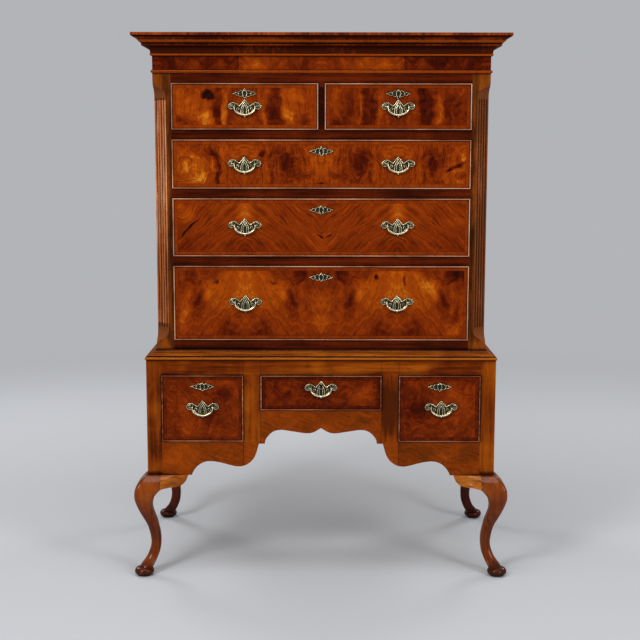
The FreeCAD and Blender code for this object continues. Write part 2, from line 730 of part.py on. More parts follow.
def build_stand(drawers):
    leg = front_right_leg()
    bracket = front_bracket().cut(leg)
    flank_board = flank()
    top_rail = rail(stand_drawer_head, stand_top_rail, stand_inner, stand_front, stand_rail_depth)
    mortises = [bolt_mortise(drawer) for drawer in drawers if drawer["face"] == stand_front]
    stile = box(centre_half, side_drawer_inner, stand_front, stand_front + stand_post,
                side_drawer_foot, stand_drawer_head)
    stile_tenon = box(centre_half + stile_tenon_inset, side_drawer_inner - tenon_shoulder,
                      stand_front + tenon_shoulder, stand_front + stand_board - tenon_shoulder,
                      side_drawer_foot - carcase_tenon, stand_drawer_head + carcase_tenon)
    stile = stile.fuse(stile_tenon).removeSplitter()
    stiles = both_sides(stile)
    front_apron = cut_all(apron(), stiles)
    apron_tenon = box(-stand_inner - carcase_tenon, stand_inner + carcase_tenon,
                      stand_front + stand_board / 3, stand_front + 2 * stand_board / 3,
                      leg_height + carcase_tenon, side_drawer_foot - carcase_tenon)
    ends = apron_tenon.cut(box(-stand_inner, stand_inner, stand_front, stand_front + stand_board,
                               leg_height, stand_top))
    front_apron = front_apron.fuse(ends).removeSplitter()
    back = box(-stand_inner, stand_inner, stand_lining_back, stand_back,
               leg_height + stand_back_rise, stand_top)
    back_tenon = box(-stand_inner - carcase_tenon, stand_inner + carcase_tenon,
                     stand_back - 2 * stand_board / 3, stand_back - stand_board / 3,
                     leg_height + stand_back_rise + carcase_tenon, stand_top - carcase_tenon)
    back = back.fuse(back_tenon).removeSplitter()
    post = box(stand_inner, stand_half, stand_front, stand_front + stand_post, leg_height, stand_top)
    rear_leg = front_to_back(leg)
    front_post = cut_all(post, [leg, flank_board, top_rail, front_apron])
    back_post = cut_all(front_to_back(post), [rear_leg, flank_board, back])

    save("stand_side_boards", both_sides(flank_board))
    save("stand_frame", [*both_sides(front_post), *both_sides(back_post),
                         cut_all(top_rail, [*stiles, *mortises]), *stiles])
    save("stand_apron", [front_apron])
    save("leg_front_right", [leg])
    save("leg_front_left", [mirrored(leg)])
    save("leg_back_right", [rear_leg])
    save("leg_back_left", [mirrored(rear_leg)])
    corner_pair = [bracket, diagonal_twin(bracket)]
    right_hand = [*corner_pair, *[front_to_back(piece) for piece in corner_pair]]
    save("knee_brackets", [*right_hand, *[mirrored(piece) for piece in right_hand]])
    save("waist_moulding", mitred_lengths(waist_profile, chest_half, chest_front, chest_back))
    return back


def stand_runners():
    """Bearers, guides, partitions and stops for the stand's drawers, and the cleats under the chest."""
    front = stand_front + stand_board
    back = stand_lining_back
    behind_post = stand_front + stand_post
    board_face = stand_half - stand_board
    face_of_partition = partition_middle + partition_thickness / 2
    other_face = partition_middle - partition_thickness / 2
    bearer_foot = side_drawer_foot - bearer_height
    partition = box(other_face, face_of_partition, behind_post, back, bearer_foot, stand_drawer_head)
    inner_bearer = box(face_of_partition, face_of_partition + bearer_width, behind_post, back,
                       bearer_foot, side_drawer_foot)
    inner_guide = box(face_of_partition, side_drawer_inner, behind_post, back,
                      side_drawer_foot, side_drawer_foot + guide_height)
    outer_bearer = box(board_face - bearer_width, board_face, behind_post, -behind_post,
                       bearer_foot, side_drawer_foot)
    outer_guide = box(stand_inner, board_face, behind_post, -behind_post,
                      side_drawer_foot, side_drawer_foot + guide_height)
    centre_bearer = box(other_face - bearer_width, other_face, front, back,
                        centre_drawer_foot - bearer_height, centre_drawer_foot)
    centre_bearer = centre_bearer.cut(box(centre_half, side_drawer_inner, stand_front, behind_post,
                                          side_drawer_foot, stand_drawer_head))
    centre_guide = box(centre_half, other_face, behind_post, back,
                       centre_drawer_foot, centre_drawer_foot + guide_height)
    stop_front = back - stand_box_clearance + running_gap
    side_stop = box(side_drawer_inner, face_of_partition + bearer_width, stop_front, back,
                    side_drawer_foot, side_drawer_foot + stop_height)
    centre_stop = box(centre_half - stop_width, centre_half, stop_front, back,
                      centre_drawer_foot, centre_drawer_foot + stop_height)
    cleat = box(board_face - cleat_width, board_face, stand_front + stand_rail_depth, -behind_post,
                stand_top - cleat_height, stand_top)
    pieces = [partition, inner_bearer, inner_guide, outer_bearer, outer_guide, centre_bearer, centre_guide,
              side_stop, centre_stop, cleat]
    return [twin for piece in pieces for twin in both_sides(piece)]


# --- Drawers ---------------------------------------------------------------------------------------------

def tails(x0, x1, root, end, foot, head):
    """Dovetail tails along the end of a drawer side, from the root line out to the end line."""
    height = head - foot
    count = max(2, round(height / tail_pitch))
    pitch = height / count
    root_half = 0.28 * pitch
    end_half = root_half + abs(end - root) * tail_slope
    pieces = []
    for number in range(count):
        middle = foot + (number + 0.5) * pitch
        corners = [Vector(x0, root, middle - root_half), Vector(x0, end, middle - end_half),
                   Vector(x0, end, middle + end_half), Vector(x0, root, middle + root_half)]
        pieces.append(prism(corners, Vector(x1 - x0, 0, 0)))
    return pieces


def cockbeads(x0, x1, z0, z1, face):
    """Four mitred beads round a drawer front, with rounded noses."""
    nose = bead_width / 2
    front = face - bead_proud
    back = face + bead_rebate

    def strip(length_from, length_to, level, across, along, up):
        """One straight bead: along and up are unit vectors, level is its outer edge."""
        def place(deep, rise):
            return along * length_from + across * (level + rise) + Vector(0, deep, 0)
        inside = up * bead_width
        edges = [line(place(back, 0), place(front + nose, 0)),
                 arc(place(front + nose, 0), place(front, inside / 2), place(front + nose, inside)),
                 line(place(front + nose, inside), place(back, inside)),
                 line(place(back, inside), place(back, 0))]
        return solid_of(edges, along * (length_to - length_from))

    east = Vector(1, 0, 0)
    north = Vector(0, 0, 1)
    w = bead_width

    def wedge(points):
        return prism([Vector(x, front - 1, z) for x, z in points], Vector(0, back - front + 2, 0))

    foot = strip(x0, x1, z0, north, east, 1).common(
        wedge([(x0, z0), (x1, z0), (x1 - w, z0 + w), (x0 + w, z0 + w)]))
    head = strip(x0, x1, z1, north, east, -1).common(
        wedge([(x0, z1), (x1, z1), (x1 - w, z1 - w), (x0 + w, z1 - w)]))
    left = strip(z0, z1, x0, east, north, 1).common(
        wedge([(x0, z0), (x0 + w, z0 + w), (x0 + w, z1 - w), (x0, z1)]))
    right = strip(z0, z1, x1, east, north, -1).common(
        wedge([(x1, z0), (x1 - w, z0 + w), (x1 - w, z1 - w), (x1, z1)]))
    return [foot, head, left, right]


def keyhole(x, z, y0, y1):
    """Round hole with a slot below it, cut from y0 to y1."""
    hole = Part.makeCylinder(keyhole_radius, y1 - y0, Vector(x, y0, z), Vector(0, 1, 0))
    slot = box(x - keyhole_slot / 2, x + keyhole_slot / 2, y0, y1, z - keyhole_length, z)
    return hole.fuse(slot)


def symmetric_plate(half_edges, x, z, face):
    """A flat plate from the right-hand half of its outline; half_edges(place) gives the edges."""
    def right(out, up):
        return Vector(x + out, face, z + up)

    def left(out, up):
        return Vector(x - out, face, z + up)

    edges = Part.sortEdges([*half_edges(right), *half_edges(left)])[0]
    return Part.Face(Part.Wire(edges)).extrude(Vector(0, -plate_thickness, 0))


def pull_plate_half(place):
    """Pointed arch, scrolled ear, crescent and drop, from the peak round to the lowest point."""
    tip = plate_half_width
    return [
        curve([place(0, plate_peak), place(4.5, 0.76 * plate_peak), place(9.5, 0.46 * plate_peak),
               place(15, 2.5)]),
        curve([place(15, 2.5), place(21, 7), place(29, 11.5), place(tip - 10, 11), place(tip - 3, 6.5),
               place(tip, 0.5), place(tip - 2.5, -5), place(tip - 7.5, -8.2), place(tip - 13, -7.5),
               place(30.5, -4.5)]),
        curve([place(30.5, -4.5), place(26.5, -12.5), place(19, -19.5), place(9, -24),
               place(2.2, -25.5)]),
        curve([place(2.2, -25.5), place(2.8, -28.5), place(0, -31)]),
    ]


def escutcheon_half(place):
    """A lozenge with shouldered sides."""
    high = escutcheon_half_height
    wide = escutcheon_half_width

    def side(sign):
        return curve([place(0, sign * high), place(0.17 * wide, sign * 0.72 * high),
                      place(0.37 * wide, sign * 0.6 * high), place(0.5 * wide, sign * 0.42 * high),
                      place(0.72 * wide, sign * 0.3 * high), place(wide, 0)])

    return [side(1), side(-1)]


def pull_posts(x, z, face):
    """Two posts with bored heads, and the nuts that hold them inside the drawer."""
    axis = face - bail_standoff
    back = face + front_thickness
    pieces = []
    for side in (-1, 1):
        middle = x + side * post_spread / 2
        shaft = Part.makeCylinder(post_radius, back + nut_thickness + 2 - axis, Vector(middle, axis, z),
                                  Vector(0, 1, 0))
        head = Part.makeSphere(post_head_radius, Vector(middle, axis, z))
        inner_end = x + side * bail_half_span
        depth = pin_length + running_gap
        bore = Part.makeCylinder(pin_radius + pin_fit, depth, Vector(inner_end, axis, z),
                                 Vector(side, 0, 0))
        post = shaft.fuse(head).cut(bore)
        nut = box(middle - nut_size / 2, middle + nut_size / 2, back, back + nut_thickness,
                  z - nut_size / 2, z + nut_size / 2).cut(shaft)
        pieces.append((post, nut, shaft))
    return pieces


def bail(x, z, face):
    """Loop handle hanging from two pins: a flattened bow of three arcs between short straight necks."""
    axis = face - bail_standoff
    rise = bail_drop - bail_neck
    small = bail_corner_radius
    large = (bail_half_span ** 2 + rise ** 2 - 2 * bail_half_span * small) / (2 * (rise - small))
    corner_x = bail_half_span - small
    meet = math.atan2(corner_x, large - rise)

    def place(out, up):
        return Vector(x + out, axis, z + up)

    join_x = large * math.sin(meet)
    join_z = -bail_drop + large * (1 - math.cos(meet))
    half_way = (math.pi / 2 - meet) / 2
    bend_x = corner_x + small * math.cos(half_way)
    bend_z = -bail_neck - small * math.sin(half_way)
    path = Part.Wire([
        line(place(-bail_half_span, 0), place(-bail_half_span, -bail_neck)),
        arc(place(-bail_half_span, -bail_neck), place(-bend_x, bend_z), place(-join_x, join_z)),
        arc(place(-join_x, join_z), place(0, -bail_drop), place(join_x, join_z)),
        arc(place(join_x, join_z), place(bend_x, bend_z), place(bail_half_span, -bail_neck)),
        line(place(bail_half_span, -bail_neck), place(bail_half_span, 0)),
    ])
    ring = Part.Wire(Part.makeCircle(bail_radius, place(-bail_half_span, 0), Vector(0, 0, 1)))
    bow = path.makePipeShell([ring], True, True)
    ends = []
    for side in (-1, 1):
        ends.append(Part.makeSphere(bail_radius, place(side * bail_half_span, 0)))
        ends.append(Part.makeCylinder(pin_radius, pin_length, place(side * bail_half_span, 0),
                                      Vector(side, 0, 0)))
    return bow.fuse(ends)


def drawer_box(x0, x1, foot, head, inside, back):
    """Sides, back and bottom: dovetailed at the corners, the bottom in grooves and under the back."""
    box_foot = foot + running_gap
    box_head = head - drawer_gap
    bottom_foot = foot + bottom_rise
    bottom_head = bottom_foot + bottom_thickness
    bottom = box(x0 + side_thickness - bottom_groove, x1 - side_thickness + bottom_groove,
                 inside - bottom_groove, back, bottom_foot, bottom_head)
    sides = []
    for left in (x0, x1 - side_thickness):
        right = left + side_thickness
        plank = box(left, right, inside, back - box_back_thickness, box_foot, box_head)
        ends = [*tails(left, right, inside, inside - tail_length, box_foot, box_head),
                *tails(left, right, back - box_back_thickness, back, box_foot, box_head)]
        sides.append(plank.fuse(ends).removeSplitter().cut(bottom))
    rear = box(x0, x1, back - box_back_thickness, back, bottom_head, box_head - back_drop)
    return sides, cut_all(rear, sides), bottom


def build_drawer(drawer):
    x0 = drawer["left"] + drawer_gap
    x1 = drawer["right"] - drawer_gap
    z0 = drawer["foot"] + drawer_gap
    z1 = drawer["head"] - drawer_gap
    face = drawer["face"]
    inside = face + front_thickness
    middle = (drawer["left"] + drawer["right"]) / 2
    key_z = drawer["head"] - drawer["lock_drop"]

    core = box(x0, x1, face + bead_rebate, inside, z0, z1)
    panel = box(x0 + bead_width, x1 - bead_width, face, face + bead_rebate, z0 + bead_width, z1 - bead_width)
    sides, rear, bottom = drawer_box(x0, x1, drawer["foot"], drawer["head"], inside, drawer["box_back"])

    case_front = inside - lock_depth
    case_block = box(middle - lock_width / 2, middle + lock_width / 2, case_front, inside,
                     z1 - lock_height, z1)
    plane = inside - lock_depth / 2
    bolt_head = z1 - running_gap
    bolt = box(middle - bolt_width / 2, middle + bolt_width / 2, plane - bolt_thickness / 2,
               plane + bolt_thickness / 2, bolt_head - bolt_length, bolt_head)
    gap = running_gap
    bolt_room = box(middle - bolt_width / 2 - gap, middle + bolt_width / 2 + gap,
                    plane - bolt_thickness / 2 - gap, plane + bolt_thickness / 2 + gap,
                    bolt_head - bolt_length - gap, z1 + 1)
    hole = keyhole(middle, key_z, face - plate_thickness - 1, plane)
    lock_case = cut_all(case_block, [bolt_room, hole])

    brasses = [lock_case]
    borings = [case_block, hole]
    for number, x in enumerate(drawer["pulls"]):
        plate = symmetric_plate(pull_plate_half, x, drawer["pull_z"], face)
        posts = pull_posts(x, drawer["pull_z"], face)
        shafts = [shaft for _, _, shaft in posts]
        borings += shafts
        brasses.append(cut_all(plate, [*shafts, hole] if drawer["key_in_plate"] else shafts))
        for post, nut, _ in posts:
            brasses += [post, nut]
        save(drawer["name"] + drawer["bails"][number], [bail(x, drawer["pull_z"], face)])
    if not drawer["key_in_plate"]:
        escutcheon = symmetric_plate(escutcheon_half, middle, key_z, face)
        pins = []
        for side in (-1, 1):
            at = Vector(middle + side * escutcheon_pin_spread / 2, face - plate_thickness, key_z)
            pins.append(Part.makeCylinder(escutcheon_pin_radius, escutcheon_pin_length, at, Vector(0, 1, 0)))
        borings += pins
        brasses += [cut_all(escutcheon, [*pins, hole]), *pins]

    front = cut_all(core.fuse(panel).removeSplitter(), [*sides, bottom, *borings])
    save(drawer["name"] + "_front", [front, *cockbeads(x0, x1, z0, z1, face)])
    save(drawer["name"] + "_box", [*sides, rear, bottom])
    save(drawer["name"] + "_brasses", brasses)
    save(drawer["name"] + "_lock_bolt", [bolt])


def chest_drawer(name, left, right, foot, head, pulls, pull_rise, drop):
    """Sizes of one of the chest's drawers; pull_rise counts up from the middle of its opening."""
    bails = ["_bail"] if len(pulls) == 1 else ["_left_bail", "_right_bail"]
    return {"name": name, "left": left, "right": right, "foot": foot, "head": head, "face": chest_front,
            "box_back": lining_back - chest_box_clearance, "pulls": pulls, "bails": bails,
            "pull_z": (foot + head) / 2 + pull_rise, "lock_drop": drop, "key_in_plate": False}


def stand_drawer(name, left, right, foot, pull_shift, pull_rise, drop, key_in_plate):
    """Sizes of one of the stand's drawers."""
    middle = (left + right) / 2 + pull_shift
    return {"name": name, "left": left, "right": right, "foot": foot, "head": stand_drawer_head,
            "face": stand_front, "box_back": stand_lining_back - stand_box_clearance, "pulls": [middle],
            "bails": ["_bail"], "pull_z": (foot + stand_drawer_head) / 2 + pull_rise, "lock_drop": drop,
            "key_in_plate": key_in_plate}


def list_drawers():
    pair = [-pull_spread / 2, pull_spread / 2]
    half = muntin_width / 2
    short_middle = (half + opening_half) / 2
    wide = (-opening_half, opening_half)
    side = (side_drawer_inner, stand_inner)
    return [
        chest_drawer("short_left_drawer", -opening_half, -half, short_foot, short_head, [-short_middle], 0,
                     short_lock_drop),
        chest_drawer("short_right_drawer", half, opening_half, short_foot, short_head, [short_middle], 0,
                     short_lock_drop),
        chest_drawer("upper_long_drawer", *wide, upper_foot, upper_head, pair, 1.5, lock_drop),
        chest_drawer("middle_long_drawer", *wide, middle_foot, middle_head, pair, 6.0, lock_drop),
        chest_drawer("lower_long_drawer", *wide, lower_foot, lower_head, pair, 3.5, lock_drop),
        stand_drawer("stand_left_drawer", -side[1], -side[0], side_drawer_foot, 0, 4.5, lock_drop, False),
        stand_drawer("stand_centre_drawer", -centre_half, centre_half, centre_drawer_foot, 0, 15.0,
                     short_lock_drop, True),
        stand_drawer("stand_right_drawer", *side, side_drawer_foot, 5.0, 4.5, lock_drop, False),
    ]


def main():
    os.makedirs("parts", exist_ok=True)
    drawers = list_drawers()
    chest_backs = build_chest(drawers)
    stand_back_panel = build_stand(drawers)
    save("back_boards", [*chest_backs, stand_back_panel])
    save("drawer_runners_and_guides", [*chest_guides(), *stand_runners()])
    for drawer in drawers:
        build_drawer(drawer)


main()
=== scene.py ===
import json
import math
from functools import partial

import bmesh
import bpy
import numpy as np
from bpy.props import FloatProperty, FloatVectorProperty, IntProperty, PointerProperty
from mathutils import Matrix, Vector

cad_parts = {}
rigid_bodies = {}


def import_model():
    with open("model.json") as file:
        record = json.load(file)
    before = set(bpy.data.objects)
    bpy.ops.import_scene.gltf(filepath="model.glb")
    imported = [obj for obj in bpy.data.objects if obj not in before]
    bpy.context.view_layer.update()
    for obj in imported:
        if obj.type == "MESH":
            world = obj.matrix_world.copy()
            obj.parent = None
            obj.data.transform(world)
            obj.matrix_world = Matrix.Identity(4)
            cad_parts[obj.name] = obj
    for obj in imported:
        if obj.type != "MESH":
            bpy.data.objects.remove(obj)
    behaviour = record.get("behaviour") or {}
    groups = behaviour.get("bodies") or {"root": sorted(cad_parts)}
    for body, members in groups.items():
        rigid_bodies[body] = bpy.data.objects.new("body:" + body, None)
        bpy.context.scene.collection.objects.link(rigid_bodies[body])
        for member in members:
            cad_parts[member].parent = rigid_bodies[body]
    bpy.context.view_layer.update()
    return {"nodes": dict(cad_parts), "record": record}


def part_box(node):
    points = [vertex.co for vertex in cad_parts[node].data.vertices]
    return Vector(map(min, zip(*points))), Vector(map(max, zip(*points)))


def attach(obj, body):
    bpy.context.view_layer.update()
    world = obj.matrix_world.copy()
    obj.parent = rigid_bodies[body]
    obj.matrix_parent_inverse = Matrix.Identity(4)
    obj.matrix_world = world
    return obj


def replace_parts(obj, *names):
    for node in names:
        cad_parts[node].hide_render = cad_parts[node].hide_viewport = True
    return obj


bl_info = {
    "name": "Walnut Highboy",
    "version": (1, 0, 0),
    "blender": (4, 5, 0),
    "location": "3D View > Sidebar > Highboy",
    "description": "Veneers, polish, cast brasses, floor, light and camera for a walnut chest on stand",
    "category": "Object",
}

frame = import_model()

LONG_DRAWERS = ("upper_long_drawer", "middle_long_drawer", "lower_long_drawer")
SHORT_DRAWERS = ("short_left_drawer", "short_right_drawer")
STAND_DRAWERS = ("stand_left_drawer", "stand_centre_drawer", "stand_right_drawer")
DRAWERS = SHORT_DRAWERS + LONG_DRAWERS + STAND_DRAWERS
MM = 0.001


def linear(hex_colour):
    """An sRGB hex colour as linear red, green and blue."""
    srgb = [int(hex_colour[place:place + 2], 16) / 255 for place in (1, 3, 5)]
    return [c / 12.92 if c <= 0.04045 else ((c + 0.055) / 1.055) ** 2.4 for c in srgb]


def dim(shade, share):
    """A colour with each part times share."""
    return [share * part for part in shade]


# --- Sizes and colours a user may change ---

def colour(name, description, default):
    """Settings of one colour property, from its sRGB hex value."""
    return {"name": name, "description": description, "default": linear(default), "subtype": "COLOR",
            "size": 3, "min": 0.0, "max": 1.0}


class HighboyWood(bpy.types.PropertyGroup):
    """Colours of the woods."""

    heart: FloatVectorProperty(**colour("Heart", "Darkest lines and knots of the veneer", "#1a0602"))
    shade: FloatVectorProperty(**colour("Shade", "Dark red-brown of the figure", "#480f00"))
    body: FloatVectorProperty(**colour("Body", "Middle tone of the figure", "#772902"))
    flame: FloatVectorProperty(**colour("Flame", "Orange of the figure", "#963e03"))
    glow: FloatVectorProperty(**colour("Glow", "Golden patches of the figure", "#c27318"))
    rail: FloatVectorProperty(**colour("Rail", "Cross-grained veneer of the rails", "#4c1501"))
    honey: FloatVectorProperty(**colour("Honey", "Paler walnut of the stand's frame", "#944806"))
    solid: FloatVectorProperty(**colour("Solid", "Solid walnut of legs and mouldings", "#823c08"))
    oak: FloatVectorProperty(**colour("Oak", "Dry oak of linings and backs", "#a0713a"))


class HighboyBrass(bpy.types.PropertyGroup):
    """Colours and relief of the cast brasses."""

    worn: FloatVectorProperty(**colour("Worn", "Rubbed ridges", "#dcd0aa"))
    aged: FloatVectorProperty(**colour("Aged", "Old pale brass", "#8a815c"))
    dirt: FloatVectorProperty(**colour("Dirt", "Dark wax and dirt in the hollows", "#1d1b0f"))
    ground: FloatProperty(name="Ground", description="Thickness of a plate between its ridges",
                          default=0.9 * MM, min=0.4 * MM, max=2 * MM, unit="LENGTH")
    ridge: FloatProperty(name="Ridge", description="Height of the ridges over the ground",
                         default=1.3 * MM, min=0.2 * MM, max=2.5 * MM, unit="LENGTH")
    grid: IntProperty(name="Grid", description="Columns across a pull plate", default=156, min=40, max=400)


class HighboyStudio(bpy.types.PropertyGroup):
    """Floor, background and camera."""

    paper: FloatVectorProperty(**colour("Paper", "Floor and background", "#b2b4b8"))
    floor_radius: FloatProperty(name="Floor radius", description="Where the floor has faded out",
                                default=4.2, min=1.5, max=20, unit="LENGTH")
    distance: FloatProperty(name="Distance", description="Camera in front of the middle of the stand",
                            default=3.762, min=1, max=20, unit="LENGTH")
    height: FloatProperty(name="Height", description="Camera above the floor", default=1.239,
                          min=0.1, max=5, unit="LENGTH")
    tilt: FloatProperty(name="Tilt", description="Camera looks down by this angle",
                        default=math.radians(8.01), min=-1, max=1.5, subtype="ANGLE")
    lens: FloatProperty(name="Lens", description="Focal length in millimetres on a 36 mm sensor",
                        default=69.71, min=20, max=300)


# --- Making nodes and meshes ---

def put(tree, kind, feeds=(), operation=None, stops=(), output=None, **settings):
    """Add a node with its settings. feeds has links or plain values for its sockets, in their order or by
    name, and stops the colours of a ramp. Returns the output of that name, or the first one in use."""
    node = tree.nodes.new("ShaderNode" + kind)
    if operation:
        settings["operation"] = operation
    for name, value in settings.items():
        setattr(node, name, value)
    for socket, value in feeds.items() if isinstance(feeds, dict) else enumerate(feeds):
        if isinstance(value, bpy.types.NodeSocket):
            tree.links.new(value, node.inputs[socket])
        else:
            node.inputs[socket].default_value = value
    for place, _ in stops[1:-1]:
        node.color_ramp.elements.new(place)
    for element, (place, shade) in zip(node.color_ramp.elements if stops else (), stops):
        element.position = place
        element.color = (*shade, 1)
    return node.outputs[output] if output else next((out for out in node.outputs if out.enabled), None)


def new_material(name):
    """An empty node material, a call that adds nodes to it, and its Object coordinates."""
    material = bpy.data.materials.new(name)
    material.use_nodes = True
    material.node_tree.nodes.clear()
    add = partial(put, material.node_tree)
    return material, add, add("TexCoord", output="Object")


def finish(material, shader):
    """Wire a shader to the material's surface."""
    put(material.node_tree, "OutputMaterial", {"Surface": shader})
    return material


def new_object(name, data):
    """An object in the scene, at the origin."""
    item = bpy.data.objects.new(name, data)
    bpy.context.scene.collection.objects.link(item)
    return item


def surface(points, wrap_rows=False, wrap_columns=False):
    """Vertices and quads of a grid of points [row, column, xyz]; a wrapped side joins its far side."""
    rows, columns = points.shape[:2]
    index = np.arange(rows * columns).reshape(rows, columns)
    if wrap_rows:
        index = np.vstack([index, index[:1]])
    if wrap_columns:
        index = np.hstack([index, index[:, :1]])
    quads = np.stack([index[:-1, :-1], index[1:, :-1], index[1:, 1:], index[:-1, 1:]], axis=-1)
    return points.reshape(-1, 3), quads.reshape(-1, 4)


def build(name, parts, material, body):
    """One brass piece from (vertices, faces, relief) parts, doubles merged and normals turned outward."""
    offset = 0
    faces = []
    for points, corners, _ in parts:
        faces += (corners + offset).tolist()
        offset += len(points)
    mesh = bpy.data.meshes.new(name)
    mesh.from_pydata(np.vstack([part[0] for part in parts]).tolist(), [], faces)
    relief = np.concatenate([part[2] for part in parts]).astype(np.float32)
    mesh.attributes.new("relief", "FLOAT", "POINT").data.foreach_set("value", relief)
    work = bmesh.new()
    work.from_mesh(mesh)
    bmesh.ops.remove_doubles(work, verts=work.verts, dist=1e-6)
    bmesh.ops.dissolve_degenerate(work, edges=work.edges, dist=1e-7)
    bmesh.ops.recalc_face_normals(work, faces=work.faces)
    work.to_mesh(mesh)
    work.free()
    mesh.polygons.foreach_set("use_smooth", np.ones(len(mesh.polygons), bool))
    mesh.materials.append(material)
    piece = new_object(name, mesh)
    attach(piece, body)
    return piece


def read(items, field, width=3, kind=np.float32):
    """One field of a mesh's items, as an array with a row for each item."""
    values = np.empty(len(items) * width, kind)
    items.foreach_get(field, values)
    return values.reshape(-1, width)


def faces(node):
    """The middles and the normals of a CAD node's faces, as rows of x, y and z in metres."""
    polygons = frame["nodes"][node].data.polygons
    return read(polygons, "center").T, read(polygons, "normal").T


def dress(node, whole, *areas):
    """Give a CAD node its material, and others over some of its faces: each area is (material, mask), and
    later ones win."""
    mesh = frame["nodes"][node].data
    index = np.zeros(len(mesh.polygons), np.int32)
    mesh.materials.clear()
    mesh.materials.append(whole)
    for number, (material, mask) in enumerate(areas, 1):
        mesh.materials.append(material)
        index[mask] = number
    mesh.polygons.foreach_set("material_index", index)
    mesh.update()


# --- Sums that the woods share ---

def total(add, base, *terms):
    """base plus each (value, weight) term."""
    for value, weight in terms:
        base = add("Math", (value, weight, base), "MULTIPLY_ADD")
    return base


def beyond(add, value, reach):
    """How far a value of either sign is past reach, less than nothing within it."""
    return add("Math", (add("Math", (value,), "ABSOLUTE"), reach), "SUBTRACT")


def glue_line(add, offset, dark):
    """A dark joint, about a millimetre wide where offset passes through zero."""
    return add("MapRange", (add("Math", (offset,), "ABSOLUTE"), 0.0013, 0.0004, 0.0, dark))


def patches(add, spots, plain, folded, bend, wander):
    """Soft-edged ovals that lighten or darken the wood and push its grain aside, as (tone, swirl) sums.
    Each spot is (u, v, half width, half height, tone, swirl, unfolded, turn, core), lengths in mm: it
    counts from a leaf's edge, or unfolded from the middle of the board; turn leans it; core is the share
    of its reach that has the full tone. bend moves its edge by up to half of wander, so that it isn't a
    clean oval."""
    tone = swirl = 0.0
    for spot in spots:
        *oval, shade, push, unfolded, turn, core = (*spot, *(0, 0, 0, 0.15)[len(spot) - 5:])
        u, v, wide, high = (MM * length for length in oval)
        sheet = plain if unfolded else folded
        nudge = add("VectorMath", (bend, (wander, 0.0, wander), sheet), "MULTIPLY_ADD")
        offset = add("VectorMath", (nudge, (u + wander / 2, 0.0, v + wander / 2)), "SUBTRACT")
        if turn:
            offset = add("VectorRotate", {"Vector": offset, "Angle": turn}, rotation_type="Y_AXIS")
        share = add("VectorMath", (offset, (1 / wide, 0.0, 1 / high)), "MULTIPLY")
        far = add("VectorMath", (share,), "LENGTH")
        near = add("MapRange", (far, 1.0, core), interpolation_type="SMOOTHSTEP")
        tone = total(add, tone, (near, shade))
        if push:
            swirl = total(add, swirl, (near, push))
    return tone, swirl


# --- Woods ---

# Cycles per metre across the grain: a walnut pore is about 0.2 mm wide and 3 mm long, drawn at 0.8 mm so
# that it shows; a growth streak is 3 to 8 mm wide and runs on for 200 mm or more.
PORE, STREAK, CLOUD = 620.0, 95.0, 7.0
# A crossband is a border of short pieces laid with their grain across it, here 10.5 mm wide.
BANDING = 10.5 * MM
# A pattern is drawn out 18 times along the grain.
STRETCH = {"X": (0.055, 1, 1), "Y": (1, 0.055, 1), "Z": (1, 1, 0.055)}
# How open a place is where the painted corner shade lies full and where it ends, 1 for quite open.
CORNER_SHADE_SPAN = (0.62, 0.97)


def painted_corner_shade(add, base, shade_span):
    """The colour darkened with painted shade in every inner corner within 14 mm, where shade falls."""
    corner = add("AmbientOcclusion", {"Distance": 0.014}, samples=8, output="AO")
    unshaded = add("MapRange", (corner, *shade_span, 0.1, 1.0), interpolation_type="SMOOTHSTEP")
    return add("VectorMath", {0: base, 3: unshaded}, "SCALE")


def polish(add, base, roughness, height, lift, coat=0.09, shade_span=CORNER_SHADE_SPAN):
    """French polish over wood: the clear film gives the gloss and the wood beneath it none, and painted
    shade darkens its corners."""
    place = add("TexCoord", output="Object")
    wave = add("TexNoise", {"Vector": place, "Scale": 26.0, "Detail": 2.0})
    return add("BsdfPrincipled", {
        "Base Color": painted_corner_shade(add, base, shade_span), "Roughness": roughness, "Specular IOR Level": 0.0,
        "Normal": add("Bump", {"Height": height, "Strength": lift, "Distance": 0.0006}),
        "Coat Weight": coat, "Coat Roughness": 0.09, "Coat IOR": 1.5,
        "Coat Normal": add("Bump", {"Height": wave, "Strength": 0.06, "Distance": 0.004})})


